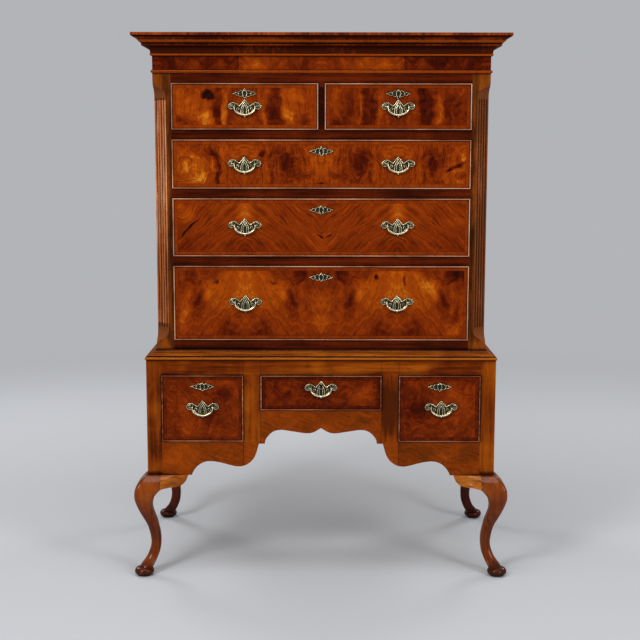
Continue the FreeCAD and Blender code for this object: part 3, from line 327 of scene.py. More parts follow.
def plain_walnut(name, grain, dark, light, coat=0.09, cross=0.0, tone=0.5, spots=(), shade_span=CORNER_SHADE_SPAN, wander=0.03,
                 joints=()):
    """Straight-grained walnut, planed and polished: long soft streaks, dark pores, cloudy changes of tone.
    grain is the axis it runs along; cross adds bands across it, as a run of cross-cut veneers shows.
    spots are patches by X and Z in the whole chest, alike on the left and the right unless unfolded;
    wander is how far their edges stray. joints are glue lines, metres out from the middle."""
    material, add, place = new_material(name)
    dark, light = (linear(shade) if isinstance(shade, str) else list(shade) for shade in (dark, light))
    along = add("VectorMath", (place, STRETCH[grain]), "MULTIPLY")
    cloud = add("TexNoise", {"Vector": place, "Scale": CLOUD, "Detail": 3.0, "Distortion": 0.6})
    streak = add("TexNoise", {"Vector": along, "Scale": STREAK, "Detail": 5.0, "Roughness": 0.62,
                              "Distortion": 0.25})
    bands = add("TexNoise", {"Vector": along, "Scale": 11.0, "Detail": 2.0})
    pore = add("TexNoise", {"Vector": along, "Scale": PORE, "Detail": 2.0, "Roughness": 0.5})
    pore = add("MapRange", (pore, 0.56, 0.72))
    mix = total(add, 0.0, (cloud, tone), (streak, 0.6), (bands, cross))
    if spots:
        flat = add("VectorMath", (place, (1.0, 0.0, 1.0)), "MULTIPLY")
        both = add("VectorMath", (flat,), "ABSOLUTE")
        bend = add("TexNoise", {"Vector": flat, "Scale": 14.0, "Detail": 2.0}, output="Color")
        extra, _ = patches(add, spots, flat, both, bend, wander)
        mix = total(add, mix, (extra, 1.0))
    for reach in joints:
        x = add("SeparateXYZ", (place,), output="X")
        pore = add("Math", (pore, glue_line(add, beyond(add, x, reach), 1.3)), "MAXIMUM")
    middle = 0.5 * (0.6 + tone + cross)
    shades = add("ValToRGB", (mix,), stops=[
        (middle - 0.17, dim(dark, 0.4)), (middle - 0.06, dark),
        (middle + 0.05, [0.5 * (a + b) for a, b in zip(dark, light)]), (middle + 0.17, light)])
    base = add("Mix", {0: add("Math", (pore, 0.5), "MULTIPLY"), 6: shades, 7: (*dim(dark, 0.18), 1)},
               data_type="RGBA")
    rough = add("MapRange", (streak, 0.0, 1.0, 0.42, 0.62))
    return finish(material, polish(add, base, rough, pore, -0.35, coat, shade_span))


def figured_walnut(name, middle, leaf, flow, spots, wood, marble=1.0, streaks=1.0, seed=0.0, shift=0.0,
                   half=None, ends=None, pitch=1.0, glow=0.0, upright=None, border=0.27):
    """Figured walnut veneer, saw-cut, laid in leaves that mirror one another, and french polished.
    x folds at every leaf's edge. flow = (a, b, e) makes the grain run along level lines of
    a u + b v + e times the distance from the fold line, which bows them round a pull, and pitch packs them
    closer. leaf 0 is one unmirrored sheet. shift lightens or darkens the whole and glow turns it golden.
    half is the half width and height of a panel with a crossbanded border of tone border; ends is
    (distance from the middle, tone) for a darker run of veneer beyond a joint; upright is the nearest and
    furthest distance from the middle of a strip whose grain stands upright."""
    material, add, place = new_material(name)
    x = add("Math", (add("SeparateXYZ", (place,), output="X"), middle[0]), "SUBTRACT")
    v = add("Math", (add("SeparateXYZ", (place,), output="Z"), middle[1]), "SUBTRACT")
    u = add("Math", (x, leaf), "PINGPONG") if leaf else x
    plain = add("CombineXYZ", {"X": x, "Z": v})
    folded = add("CombineXYZ", {"X": u, "Z": v})
    sway = add("TexNoise", {"Vector": add("CombineXYZ", (x, seed, v)), "Scale": 5.0, "Detail": 1.0},
               output="Color")
    leafwise = add("CombineXYZ", (u, seed, v))
    swayed = add("VectorMath", (sway, (0.022, 0.0, 0.022), leafwise), "MULTIPLY_ADD")
    bend = add("TexNoise", {"Vector": swayed, "Scale": 11.0, "Detail": 3.0, "Roughness": 0.55},
               output="Color")
    bent = add("VectorMath", (bend, (0.05, 0.0, 0.05), swayed), "MULTIPLY_ADD")
    tone, swirl = patches(add, spots, plain, folded, bend, 0.07)

    a, b, bow = flow
    hub = add("VectorMath", (bent, (leaf + 0.03, seed, 0.03)), "SUBTRACT")
    hub = add("VectorMath", (add("VectorMath", (hub, (1.0, 0.0, 0.42)), "MULTIPLY"),), "LENGTH")
    across = add("VectorMath", (bent, (a, 0.0, b)), "DOT_PRODUCT")
    across = total(add, across, (hub, bow), (swirl, 1.0))
    along = add("VectorMath", (bent, (-b - 0.3 * bow, 0.0, a + bow)), "DOT_PRODUCT")
    grain = add("CombineXYZ", (across, seed, add("Math", (along, 0.07), "MULTIPLY")))

    cloud = add("TexNoise", {"Vector": bent, "Scale": 8.0, "Detail": 3.0, "Distortion": 0.9})
    knots = add("TexNoise", {"Vector": bent, "Scale": 30.0, "Detail": 6.0, "Roughness": 0.66,
                             "Distortion": 1.7})
    streak = add("TexNoise", {"Vector": grain, "Scale": 55.0 * pitch, "Detail": 6.0, "Roughness": 0.74,
                              "Distortion": 0.2})
    lines = add("TexNoise", {"Vector": grain, "Scale": 210.0, "Detail": 3.0, "Roughness": 0.55})
    pore = add("TexNoise", {"Vector": grain, "Scale": PORE, "Detail": 2.0})

    def straight(across, along, level):
        """Tone of a strip whose grain runs straight."""
        strip = add("CombineXYZ", (across, seed, add("Math", (along, 0.08), "MULTIPLY")))
        strip = add("TexNoise", {"Vector": strip, "Scale": 60.0, "Detail": 6.0, "Roughness": 0.65})
        return total(add, level + shift, (strip, 0.55))

    value = total(add, tone, (cloud, 0.45), (knots, 0.65 * marble), (streak, 0.75 * streaks))
    usual = 0.225 + 0.325 * marble + 0.375 * streaks
    value = add("Math", (value, usual - 0.5 - shift), "SUBTRACT")
    if ends:
        value = total(add, value, (add("Math", (beyond(add, x, ends[0]), 0.0), "GREATER_THAN"), ends[1]))
    vein = add("Math", (add("Math", (knots, 0.47), "SUBTRACT"),), "ABSOLUTE")
    dark = add("MapRange", (vein, 0.016, 0.0, 0.0, 0.55 * marble))
    for marks in (add("MapRange", (lines, 0.52, 0.66, 0.0, 0.55 * streaks)),
                  add("MapRange", (pore, 0.6, 0.75, 0.0, 0.4))):
        dark = add("Math", (dark, marks), "MAXIMUM")
    if half:
        side, foot = beyond(add, x, half[0]), beyond(add, v, half[1])
        edge = add("Math", (side, foot), "MAXIMUM")
        band = add("Math", (edge, -BANDING), "GREATER_THAN")
        at_side = add("Math", (side, foot), "GREATER_THAN")
        run, short = add("Mix", {0: at_side, 2: x, 3: v}), add("Mix", {0: at_side, 2: v, 3: x})
        value = add("Mix", {0: band, 2: value, 3: straight(run, short, border)})
        dark = add("Math", (dark, total(add, 1.0, (band, -0.6))), "MULTIPLY")
        joint = glue_line(add, add("Math", (edge, BANDING), "ADD"), 0.35)
        dark = add("Math", (dark, joint), "MAXIMUM")
    if upright:
        off = beyond(add, beyond(add, x, sum(upright) / 2), (upright[1] - upright[0]) / 2)
        inside = add("Math", (off, 0.0), "LESS_THAN")
        value = add("Mix", {0: inside, 2: value, 3: straight(x, v, 0.34)})
        dark = add("Math", (dark, glue_line(add, off, 0.75)), "MAXIMUM")
    shades = add("ValToRGB", (value,), stops=[
        (0.04, wood.heart), (0.25, wood.shade), (0.5, wood.body), (0.73, wood.flame), (0.96, wood.glow)])
    if glow:
        shades = add("Mix", {0: glow, 6: shades, 7: (*wood.honey, 1)}, data_type="RGBA")
    base = add("Mix", {0: dark, 6: shades, 7: (*wood.heart, 1)}, data_type="RGBA")
    rough = add("MapRange", (streak, 0.0, 1.0, 0.35, 0.6))
    return finish(material, polish(add, base, rough, dark, -0.2))


def oak(name, grain, wood, boards=None):
    """Oak planed and left dry: no gloss, open pores along the grain, brown with age and handling.
    boards = (first edge, width) tells where upright boards meet: each has its own tone and a dark joint."""
    material, add, place = new_material(name)
    along = add("VectorMath", (place, STRETCH[grain]), "MULTIPLY")
    cloud = add("TexNoise", {"Vector": along, "Scale": 9.0, "Detail": 4.0})
    streak = add("TexNoise", {"Vector": along, "Scale": 120.0, "Detail": 5.0, "Roughness": 0.65})
    pore = add("TexNoise", {"Vector": along, "Scale": 520.0, "Detail": 2.0})
    pore = add("MapRange", (pore, 0.55, 0.7))
    mix = total(add, 0.0, (streak, 0.6), (cloud, 0.6))
    if boards:
        x = add("SeparateXYZ", (place,), output="X")
        count = add("Math", (add("Math", (x, boards[0]), "SUBTRACT"), boards[1]), "DIVIDE")
        number = add("Math", (count,), "FLOOR")
        own = add("TexWhiteNoise", {"W": number}, noise_dimensions="1D", output="Value")
        mix = total(add, add("Math", (mix, 0.08), "SUBTRACT"), (own, 0.16))
        to_edge = add("Math", (count, 0.5), "PINGPONG")
        pore = add("Math", (pore, add("MapRange", (to_edge, 0.01, 0.004, 0.0, 0.9))), "MAXIMUM")
    shades = add("ValToRGB", (mix,), stops=[
        (0.4, dim(wood.oak, 0.5)), (0.57, dim(wood.oak, 0.8)), (0.76, dim(wood.oak, 1.1))])
    base = add("Mix", {0: add("Math", (pore, 0.6), "MULTIPLY"), 6: shades, 7: (*dim(wood.oak, 0.15), 1)},
               data_type="RGBA")
    # Painted shade darkens the oak's inner corners.
    return finish(material, add("BsdfPrincipled", {
        "Base Color": painted_corner_shade(add, base, (0.3, 1.0)), "Specular IOR Level": 0.2,
        "Roughness": add("MapRange", (cloud, 0.0, 1.0, 0.7, 0.9)),
        "Normal": add("Bump", {"Height": pore, "Strength": -0.5, "Distance": 0.0006})}))


# --- Metals ---

def aged_brass(name, brass):
    """Sand-cast brass, filed, long handled: rubbed bright on the ridges, wax and dirt in the hollows.
    The relief attribute runs from 0 in a hollow to 1 on a ridge."""
    material, add, place = new_material(name)
    relief = add("Attribute", attribute_name="relief", output="Fac")
    mottle = add("TexNoise", {"Vector": place, "Scale": 160.0, "Detail": 4.0, "Roughness": 0.6})
    mottle = add("MapRange", (mottle, 0.3, 0.7, -0.22, 0.22))
    wear = add("Math", (relief, mottle), "ADD")
    pits = add("TexNoise", {"Vector": place, "Scale": 900.0, "Detail": 3.0})
    return finish(material, add("BsdfPrincipled", {
        "Base Color": add("ValToRGB", (wear,), stops=[
            (0.42, brass.dirt), (0.69, brass.aged), (0.94, brass.worn)]),
        "Roughness": add("MapRange", (wear, 0.0, 1.0, 0.62, 0.27)),
        "Metallic": add("MapRange", (wear, 0.35, 0.7, 0.2, 1.0)), "Specular IOR Level": 0.2,
        "Normal": add("Bump", {"Height": pits, "Strength": 0.25, "Distance": 0.0004})}))


def worn_iron(name):
    """Wrought iron, filed and dark with age: dull grey-brown, a little brighter where it slides."""
    material, add, place = new_material(name)
    spots = add("TexNoise", {"Vector": place, "Scale": 240.0, "Detail": 5.0, "Roughness": 0.65})
    return finish(material, add("BsdfPrincipled", {
        "Base Color": add("ValToRGB", (spots,), stops=[
            (0.3, linear("#2a211b")), (0.5, linear("#4c4641")), (0.7, linear("#77716a"))]),
        "Roughness": add("MapRange", (spots, 0.0, 1.0, 0.7, 0.4)), "Metallic": 1.0,
        "Normal": add("Bump", {"Height": spots, "Strength": 0.3, "Distance": 0.0005})}))


# --- Brasses ---

# Half outlines and ridges of the castings, in millimetres out from the middle and up from the pull's axis.
PLATE_HEAD = ([(0, 20), (4.5, 15.2), (9.5, 9.2), (15, 2.5)],
              [(15, 2.5), (21, 7), (29, 11.5), (37, 11), (44, 6.5), (47, 0.5)])
PLATE_FOOT = ([(0, -25.7), (9, -24), (19, -19.5), (26.5, -12.5), (30.5, -4.5)],
              [(30.5, -4.5), (34, -7.5), (39.5, -8.2), (44.5, -5), (47, 0.5)])
# Each ridge: its points, half width, share of the full relief.
PLATE_RIDGES = (
    ([(9.6, -23), (10.6, -14), (9.2, -5), (5.4, 4), (0, 12.6)], 1.3, 1.0),
    ([(4.2, -23), (5.0, -13), (4.2, -4), (0, 4.6)], 1.1, 1.0),
    ([(11.5, -19), (17, -17), (22.5, -11.5), (22.5, -5.5), (18.5, -3.2), (15.6, -6.2), (17.8, -9.4)],
     1.05, 0.9),
    ([(27.5, 5.0), (30.0, -1.5), (35.5, -6.0), (41.0, -1.5), (39.5, 4.6), (34, 7.0)], 1.0, 0.9),
)
ESCUTCHEON_HEAD = ([(0, 13.5), (3.4, 10.4), (6.8, 8.3), (10.2, 8.9), (13.6, 7.7), (17, 4.9), (20.8, 5.1),
                    (24.4, 4.5), (27.6, 2.2), (31, 1.7), (35, 0)],)
ESCUTCHEON_FOOT = ([(x, -z) for x, z in ESCUTCHEON_HEAD[0]],)
ESCUTCHEON_RIDGES = (
    ([(0, 9.6), (4.4, 6.0), (6.0, 0), (4.4, -6.0), (0, -9.6)], 1.0, 1.0),
    ([(17, 0), (17.1, 0)], 2.0, 1.0),
)
# A post's (radius, distance out from the drawer's face), from its end to the neck of its ball.
POST = [(0, -28), (2.3, -28), (2.6, -27.7), (2.6, 0.9), (4.7, 0.9), (4.7, 1.8), (4.1, 2.5), (2.9, 2.8),
        (2.5, 3.4), (2.4, 5.0)]
# Half the distance between a pull's posts and between an escutcheon's pins, and how far below its axis
# a plate ends in a small ball.
POST_REACH, PIN_REACH, DROP_BALL = 35.5, 27.0, 28.0
# How far a keyhole lies below the top of its drawer front.
KEY_DROP, LONG_KEY_DROP = 29.0, 32.5
# How far cockbeads stand out in front of the veneer, how thick they are with their joint, and how deep
# they run back behind it, with a hair to spare.
BEAD_PROUD, BEAD_THICK, BEAD_DEPTH = 3.0 * MM, 3.7 * MM, 9.01 * MM
# A drawer box's side, with a hair to spare; how far in from the chest's corner its canted face reaches; the
# half length and the lower edge of the stand's top rail.
BOX_SIDE, CANT_REACH, RAIL_HALF, RAIL_FOOT = 10.1 * MM, 44 * MM, 457 * MM, 588.5 * MM


def through(points, count=40):
    """A smooth path through points: between two of them it is the cubic whose ends run parallel to the
    chords joining each point's two neighbours."""
    p = np.asarray(points, float)
    p = np.vstack([2 * p[0] - p[1], p, 2 * p[-1] - p[-2]])
    t = np.linspace(0, len(points) - 1, count)
    i = np.minimum(t.astype(int), len(points) - 2)
    f = (t - i)[:, None]
    a, b, c, d = p[i], p[i + 1], p[i + 2], p[i + 3]
    return 0.5 * (2 * b + (c - a) * f + (2 * a - 5 * b + 4 * c - d) * f ** 2
                  + (3 * b - a - 3 * c + d) * f ** 3)


def distance(x, z, path):
    """Distance from every grid point to a path: the least over its straight pieces, each found by
    dropping a perpendicular and holding its foot between the piece's ends."""
    start, run = path[:-1], path[1:] - path[:-1]
    px, pz = x[..., None] - start[:, 0], z[..., None] - start[:, 1]
    share = np.clip((px * run[:, 0] + pz * run[:, 1]) / np.maximum((run ** 2).sum(1), 1e-12), 0, 1)
    return np.sqrt(((px - share * run[:, 0]) ** 2 + (pz - share * run[:, 1]) ** 2).min(-1))


def key_distance(x, z, rise):
    """Signed distance to a keyhole's edge, less than nothing inside: a disc of 3 mm joined to a slot."""
    disc = np.hypot(x, z - rise) - 3.0
    slot = np.maximum(np.abs(x) - 1.6, np.abs(z - rise + 4.4) - 4.4)
    return np.minimum(disc, slot)


def casting(head, foot, ridges, rim, rows, brass, key_rise=None):
    """A flat casting with raised work, as (points in mm, relief). Columns run across the plate and rows
    from its lower to its upper edge. Its front stands out by the ground, plus for each ridge a half round
    over the distance to the ridge's path, plus one of half width rim round the edge; a keyhole drops away
    behind the face. A first and a last row lie on the drawer's face and close the back."""
    tops = np.vstack([through(part) for part in head])
    feet = np.vstack([through(part) for part in foot])
    t = np.linspace(-1, 1, brass.grid)
    across = tops[-1, 0] * (0.7 * t + 0.3 * np.sin(0.5 * np.pi * t))
    high = np.interp(np.abs(across), *tops.T)
    low = np.interp(np.abs(across), *feet.T)
    s = np.linspace(0, 1, rows)
    s = (0.6 * s + 0.4 * (0.5 - 0.5 * np.cos(np.pi * s)))[:, None]
    x = np.broadcast_to(across, (rows, brass.grid))
    z = low + s * (high - low)
    edge = distance(np.abs(x), z, np.vstack([feet, tops[::-1]]))
    relief = np.sqrt(np.clip(1 - ((edge - rim) / rim) ** 2, 0, 1))
    for points, half_width, share in ridges:
        near = distance(np.abs(x), z, through(points)) / half_width
        relief = np.maximum(relief, share * np.sqrt(np.clip(1 - near ** 2, 0, 1)))
    ground, ridge = brass.ground / MM, brass.ridge / MM
    if key_rise is None:
        out = ground + ridge * relief
    else:
        key = key_distance(x, z, key_rise)
        relief = np.where(key < 1.2, 0.0, relief)
        inside = np.clip(0.5 - key / 0.5, 0, 1)
        out = (ground + ridge * relief) * (1 - inside) - 5.0 * inside
        # Inside the keyhole the relief drops below a hollow's, so the floor of its shallow pit takes the
        # darkest colour. This is painted shade standing in for the depth of the hole.
        relief = relief * (1 - inside) - 0.5 * inside
    out = np.pad(out, ((1, 1), (0, 0)))
    x, z, relief = (np.pad(grid, ((1, 1), (0, 0)), "edge") for grid in (x, z, relief))
    return np.stack([x, -out, z], axis=-1), relief


def turned(profile, centre, axis, sides=28):
    """A turned piece: the profile's (radius, distance along the axis) points carried round the axis.
    Axis 0 runs along X and axis 1 along -Y. Sizes in mm, centre in mm."""
    radius, along = np.asarray(profile, float).T[:, :, None]
    angle = np.linspace(0, 2 * np.pi, sides, endpoint=False)[None, :]
    first, second = radius * np.cos(angle), radius * np.sin(angle)
    along = np.broadcast_to(along, first.shape)
    turn = (along, first, second) if axis == 0 else (first, -along, second)
    return np.stack(turn, axis=-1) + np.asarray(centre, float)


def ball(radius, middle, count=12):
    """Profile points of a ball on the axis, from its near to its far pole."""
    angle = np.linspace(-np.pi / 2, np.pi / 2, count)
    return np.column_stack([np.maximum(radius * np.cos(angle), 0), middle + radius * np.sin(angle)])


def part_of(points, relief, wrap_rows=False, wrap_columns=True):
    """Vertices in metres, quads and relief of a grid given in millimetres; relief is one value, a column
    with one for each row, or a grid."""
    vertices, quads = surface(points, wrap_rows, wrap_columns)
    return vertices * MM, quads, np.broadcast_to(relief, points.shape[:2]).ravel()


def pull_places(drawer):
    """Each pull of a drawer: its bail's node and the middle of its hinge, in metres."""
    return [(joint["child"], joint["pos_m"]) for joint in frame["record"]["behaviour"]["joints"]
            if joint["parent"] == drawer and joint["type"] == "hinge"]


def key_place(drawer):
    """The middle of a drawer's keyhole, in metres."""
    low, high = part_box(drawer + "_front")
    shallow = drawer in SHORT_DRAWERS or drawer == "stand_centre_drawer"
    return (low[0] + high[0]) / 2, high[2] - (KEY_DROP if shallow else LONG_KEY_DROP) * MM


def drawer_face(drawer):
    """Where the flat of a drawer front lies: behind its cockbeads' noses."""
    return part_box(drawer + "_front")[0][1] + BEAD_PROUD


def cad_part(node, keep, relief):
    """A copy of a CAD node's triangles whose corners all pass keep(points), as one part."""
    mesh = frame["nodes"][node].data
    points = read(mesh.vertices, "co")
    triangles = read(mesh.loops, "vertex_index", 1, np.int32).reshape(-1, 3)
    used, triangles = np.unique(triangles[keep(points)[triangles].all(axis=1)], return_inverse=True)
    return points[used], triangles.reshape(-1, 3), np.full(len(used), relief)


def dress_pulls(drawer, brass, metal):
    """The castings, posts and escutcheon of a drawer, with the lock case and nuts behind its front."""
    face = drawer_face(drawer)
    key_x, key_z = key_place(drawer)
    key_in_plate = drawer == "stand_centre_drawer"
    head = ball(3.8, 9.0, 16)
    post = np.vstack([POST, head[head[:, 1] > 6.2]])
    rubbed = np.where(np.arange(len(post)) < len(POST), 0.3, 0.62)[:, None]
    parts = []
    for _, (x, _, z) in pull_places(drawer):
        where = np.array([x, face, z]) / MM
        rise = (key_z - z) / MM if key_in_plate else None
        points, relief = casting(PLATE_HEAD, PLATE_FOOT, PLATE_RIDGES, 1.25, 62, brass, rise)
        parts.append(part_of(points + where, relief, True, False))
        parts.append(part_of(turned(ball(2.9, 0.9), where - (0, 0, DROP_BALL), 1, 20), 0.8))
        for side in (-1, 1):
            parts.append(part_of(turned(post, where + (side * POST_REACH, 0, 0), 1), rubbed))
    if not key_in_plate:
        where = np.array([key_x, face, key_z]) / MM
        points, relief = casting(ESCUTCHEON_HEAD, ESCUTCHEON_FOOT, ESCUTCHEON_RIDGES, 0.7, 48, brass, 0.0)
        parts.append(part_of(points + where, relief, True, False))
        for side in (-1, 1):
            pin = turned(ball(1.7, 0.8, 8), where + (side * PIN_REACH, 0, 0), 1, 14)
            parts.append(part_of(pin, 0.6))
    parts.append(cad_part(drawer + "_brasses", lambda p: p[:, 1] > face + 1.5 * MM, 0.35))
    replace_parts(build(drawer + "_castings", parts, metal, drawer), drawer + "_brasses")


def dress_bail(body, hinge, metal):
    """A loop handle: round wire that thickens to a small bead at the middle of the bow, carried along two
    side arcs and one wide arc that meet smoothly; a ball and a pin at each end lie on the hinge."""
    half, neck, drop, small = 29.0, 3.2, 23.5, 16.0
    rise = drop - neck
    large = (half ** 2 + rise ** 2 - 2 * half * small) / (2 * (rise - small))
    meet = math.atan2(half - small, large - rise)
    side_turn = np.linspace(0, np.pi / 2 - meet, 14)
    side = np.column_stack([half - small + small * np.cos(side_turn), -neck - small * np.sin(side_turn)])
    wide_turn = np.linspace(meet, -meet, 45)
    wide = np.column_stack([large * np.sin(wide_turn), -drop + large * (1 - np.cos(wide_turn))])
    straight = np.column_stack([np.full(3, half), np.linspace(0, -neck, 3)])
    right = np.vstack([straight[:-1], side[:-1]])
    path = np.vstack([right, wide, (right * (-1, 1))[::-1]])
    length = np.concatenate([[0], np.cumsum(np.hypot(*np.diff(path, axis=0).T))])
    s = length - length[-1] / 2
    share = 1 - np.abs(s) / s[-1]
    radius = 1.75 + 0.75 * np.sin(0.5 * np.pi * share) ** 2
    radius = radius + 0.55 * np.exp(-(s / 1.5) ** 2) - 0.3 * np.exp(-((np.abs(s) - 3.2) / 0.9) ** 2)
    radius[[0, -1]] = 0
    tangent = np.gradient(path, axis=0)
    tangent = tangent / np.linalg.norm(tangent, axis=1)[:, None]
    normal = np.column_stack([-tangent[:, 1], tangent[:, 0]])
    angle = np.linspace(0, 2 * np.pi, 20, endpoint=False)
    flat = (radius[:, None] * np.cos(angle))[..., None] * normal[:, None, :]
    tube = np.stack([path[:, None, 0] + flat[..., 0], radius[:, None] * np.sin(angle),
                     path[:, None, 1] + flat[..., 1]], axis=-1)
    where = np.asarray(hinge) / MM
    parts = [part_of(tube + where, 1.0)]
    head = ball(2.4, 0.0, 10)
    pin = np.vstack([head[head[:, 1] < 1.6], [(1.5, 2.0), (1.5, 7.9), (1.2, 8.2), (0, 8.2)]])
    for side in (-1, 1):
        parts.append(part_of(turned(pin * (1, side), where + (side * half, 0, 0), 0, 20), 0.8))
    node = body.removesuffix("_loop")
    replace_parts(build(node + "_cast", parts, metal, body), node)


# --- Figure of the veneers ---

# How each drawer front is laid, in the words of figured_walnut; the lengths of spots are in mm.
FIGURES = {
    "short_left_drawer": dict(leaf=0.215, flow=(1.0, 0.05, 0.0), marble=0.9, streaks=0.9, seed=1.3, spots=[
        (-172, 10, 45, 75, 0.13, 0, 1, 0, 0.4), (-103, 33, 20, 22, -0.6, 0.01, 1, 0, 0.5),
        (-120, -30, 36, 36, 0.31, 0, 1, 0, 0.3), (-174, -45, 35, 24, -0.16, 0.03, 1),
        (-77, 0, 20, 120, -0.2, 0, 1, 0, 0.5), (-53, -10, 11, 90, 0.26, 0, 1, -0.16, 0.3),
        (53, -10, 11, 90, 0.2, 0, 1, 0.16, 0.3), (83, 0, 24, 120, -0.22, 0, 1, 0, 0.5),
        (116, -22, 26, 36, 0.31, 0, 1, 0, 0.3), (172, -45, 35, 28, -0.2, 0.03, 1),
        (150, 35, 60, 35, 0.12, 0, 1), (0, -45, 26, 30, -0.14)]),
    "short_right_drawer": dict(leaf=0.215, flow=(1.0, -0.05, 0.0), marble=0.9, streaks=0.9, seed=1.9,
        shift=-0.07, spots=[
        (-175, 15, 45, 70, 0.12, 0, 1, 0, 0.3), (-165, -45, 35, 28, -0.16, 0.03, 1),
        (-108, 0, 8, 70, 0.24, 0, 1), (-83, 0, 24, 120, -0.16, 0, 1, 0, 0.5),
        (-50, -10, 13, 100, 0.18, 0, 1, -0.14), (78, 0, 24, 120, -0.22, 0, 1, 0, 0.5),
        (112, -12, 16, 60, 0.3, 0, 1), (165, -10, 40, 55, -0.06, 0.03, 1), (0, -45, 36, 30, -0.16)]),
    "upper_long_drawer": dict(leaf=0.2165, flow=(0.15, 0.0, 1.0), marble=1.15, streaks=1.15, seed=3.1, spots=[
        (-362, -5, 60, 70, 0.3, 0.05, 1, 0, 0.3), (-340, -40, 50, 25, 0.16, 0, 1),
        (-310, 0, 14, 30, 0.3, 0, 1), (-270, 30, 16, 60, 0.16, 0, 1), (360, -30, 70, 35, 0.2, 0, 1, -0.3),
        (-50, -10, 40, 30, 0.12), (-300, 0, 12, 80, -0.2, 0, 1, 0.15, 0.3), (216.5, 10, 100, 75, 0.07),
        (-162, 34, 17, 17, -0.3, 0.01, 1, 0, 0.3), (-98, 0, 30, 45, -0.2, 0.04, 1, 0, 0.4),
        (107, 0, 24, 50, -0.2, 0.04, 1, -0.3, 0.4), (308, 0, 20, 42, -0.24, 0.03, 1), (0, 10, 50, 40, 0.12),
        (50, -32, 34, 12, -0.16, 0.02), (0, -56, 14, 14, -0.4, 0.02),
        (375, -12, 40, 7, -0.45, 0, 1, 0.2, 0.3), (385, 10, 45, 50, 0.13, 0.03, 1)]),
    "middle_long_drawer": dict(leaf=0.2165, flow=(-0.75, 0.8, 0.0), marble=0.35, streaks=1.15, seed=5.7,
        pitch=1.7, shift=-0.02, spots=[
        (-400, -30, 70, 80, -0.1, 0, 1), (400, -20, 60, 80, -0.08, 0, 1), (216.5, 60, 32, 75, 0.2),
        (-385, 45, 45, 45, 0.2, 0.02, 1), (-374, -3, 5.5, 55, -0.6, 0, 1, -0.78, 0.4),
        (390, 20, 45, 30, 0.12, 0, 1), (11, -24, 16, 4.5, -0.45, 0, 1, 0.6, 0.3),
        (-11, -24, 16, 4.5, -0.45, 0, 1, -0.6, 0.3), (216.5, -60, 90, 30, -0.07),
        (100, 45, 45, 40, -0.09, 0, 0, 0.6)]),
    "lower_long_drawer": dict(leaf=0.2165, flow=(0.75, -0.35, 0.25), marble=0.85, streaks=0.75, seed=8.2,
        shift=-0.06, spots=[
        (216.5, 36, 145, 70, 0.25, 0, 0, 0, 0.75), (216.5, -90, 170, 30, -0.08),
        (300, 55, 35, 40, 0.14, 0, 1), (-308, 66, 13, 9, -0.45, 0, 1, 0.5), (-142, 62, 11, 8, -0.4, 0, 1),
        (162, 68, 16, 9, -0.55, 0, 1, -0.4), (242, 60, 7, 12, -0.4, 0, 1),
        (80, 0, 26, 55, -0.2, 0.05, 0, 0, 0.4), (60, 80, 30, 30, -0.22, 0.02, 0, 0, 0.4),
        (-375, 82, 45, 26, 0.08, 0.02, 1, 0, 0.3), (400, 80, 28, 26, -0.24, 0.02, 1, 0, 0.3),
        (385, -30, 16, 60, -0.18, 0.04, 1), (0, -30, 45, 110, 0.22, 0, 0, 0, 0.3),
        (385, -75, 30, 40, 0.2, 0, 1), (-392, -20, 16, 100, 0.22, 0, 1), (165, -65, 30, 50, -0.14, 0, 0, 0.5),
        (216.5, -80, 18, 40, 0.12)]),
    "stand_left_drawer": dict(leaf=0.0, flow=(0.5, 0.5, 0.0), marble=1.1, streaks=0.6, seed=11.0, shift=-0.06,
        border=0.12, spots=[
        (55, 45, 40, 35, -0.12, 0.04), (40, -35, 30, 30, -0.12, 0.04), (-30, -60, 70, 50, 0.1, 0.02),
        (-70, 20, 40, 50, 0.08), (-70, -60, 30, 30, -0.16, 0.02)]),
    "stand_centre_drawer": dict(leaf=0.0, flow=(0.2, 0.9, 0.0), marble=1.0, streaks=0.7, seed=13.0,
        shift=-0.14, border=0.12, spots=[
        (-110, 5, 50, 35, -0.14, 0.03), (120, 0, 50, 40, 0.22, 0.03)]),
    "stand_right_drawer": dict(leaf=0.0, flow=(-0.5, 0.5, 0.0), marble=1.1, streaks=0.6, seed=15.0,
        shift=-0.08, border=0.12, spots=[
        (50, 0, 70, 90, 0.1, 0.02), (-60, 0, 50, 60, -0.16, 0.04)]),
}


# --- Operators ---

class HIGHBOY_OT_camera(bpy.types.Operator):
    """Put the camera in front of the chest, looking a little down"""

    bl_idname = "highboy.camera"
    bl_label = "Camera"

    def execute(self, context):
        studio = context.scene.highboy_studio
        data = bpy.data.cameras.new("camera")
        data.lens = studio.lens
        data.sensor_width = 36.0
        camera = new_object("camera", data)
        # 4 mm to the left of the middle, and leaning by a tenth of a degree.
        camera.location = (-0.004, -studio.distance, studio.height)
        camera.rotation_euler = (math.pi / 2 - studio.tilt, -0.0017, 0.0)
        context.scene.camera = camera
        return {"FINISHED"}


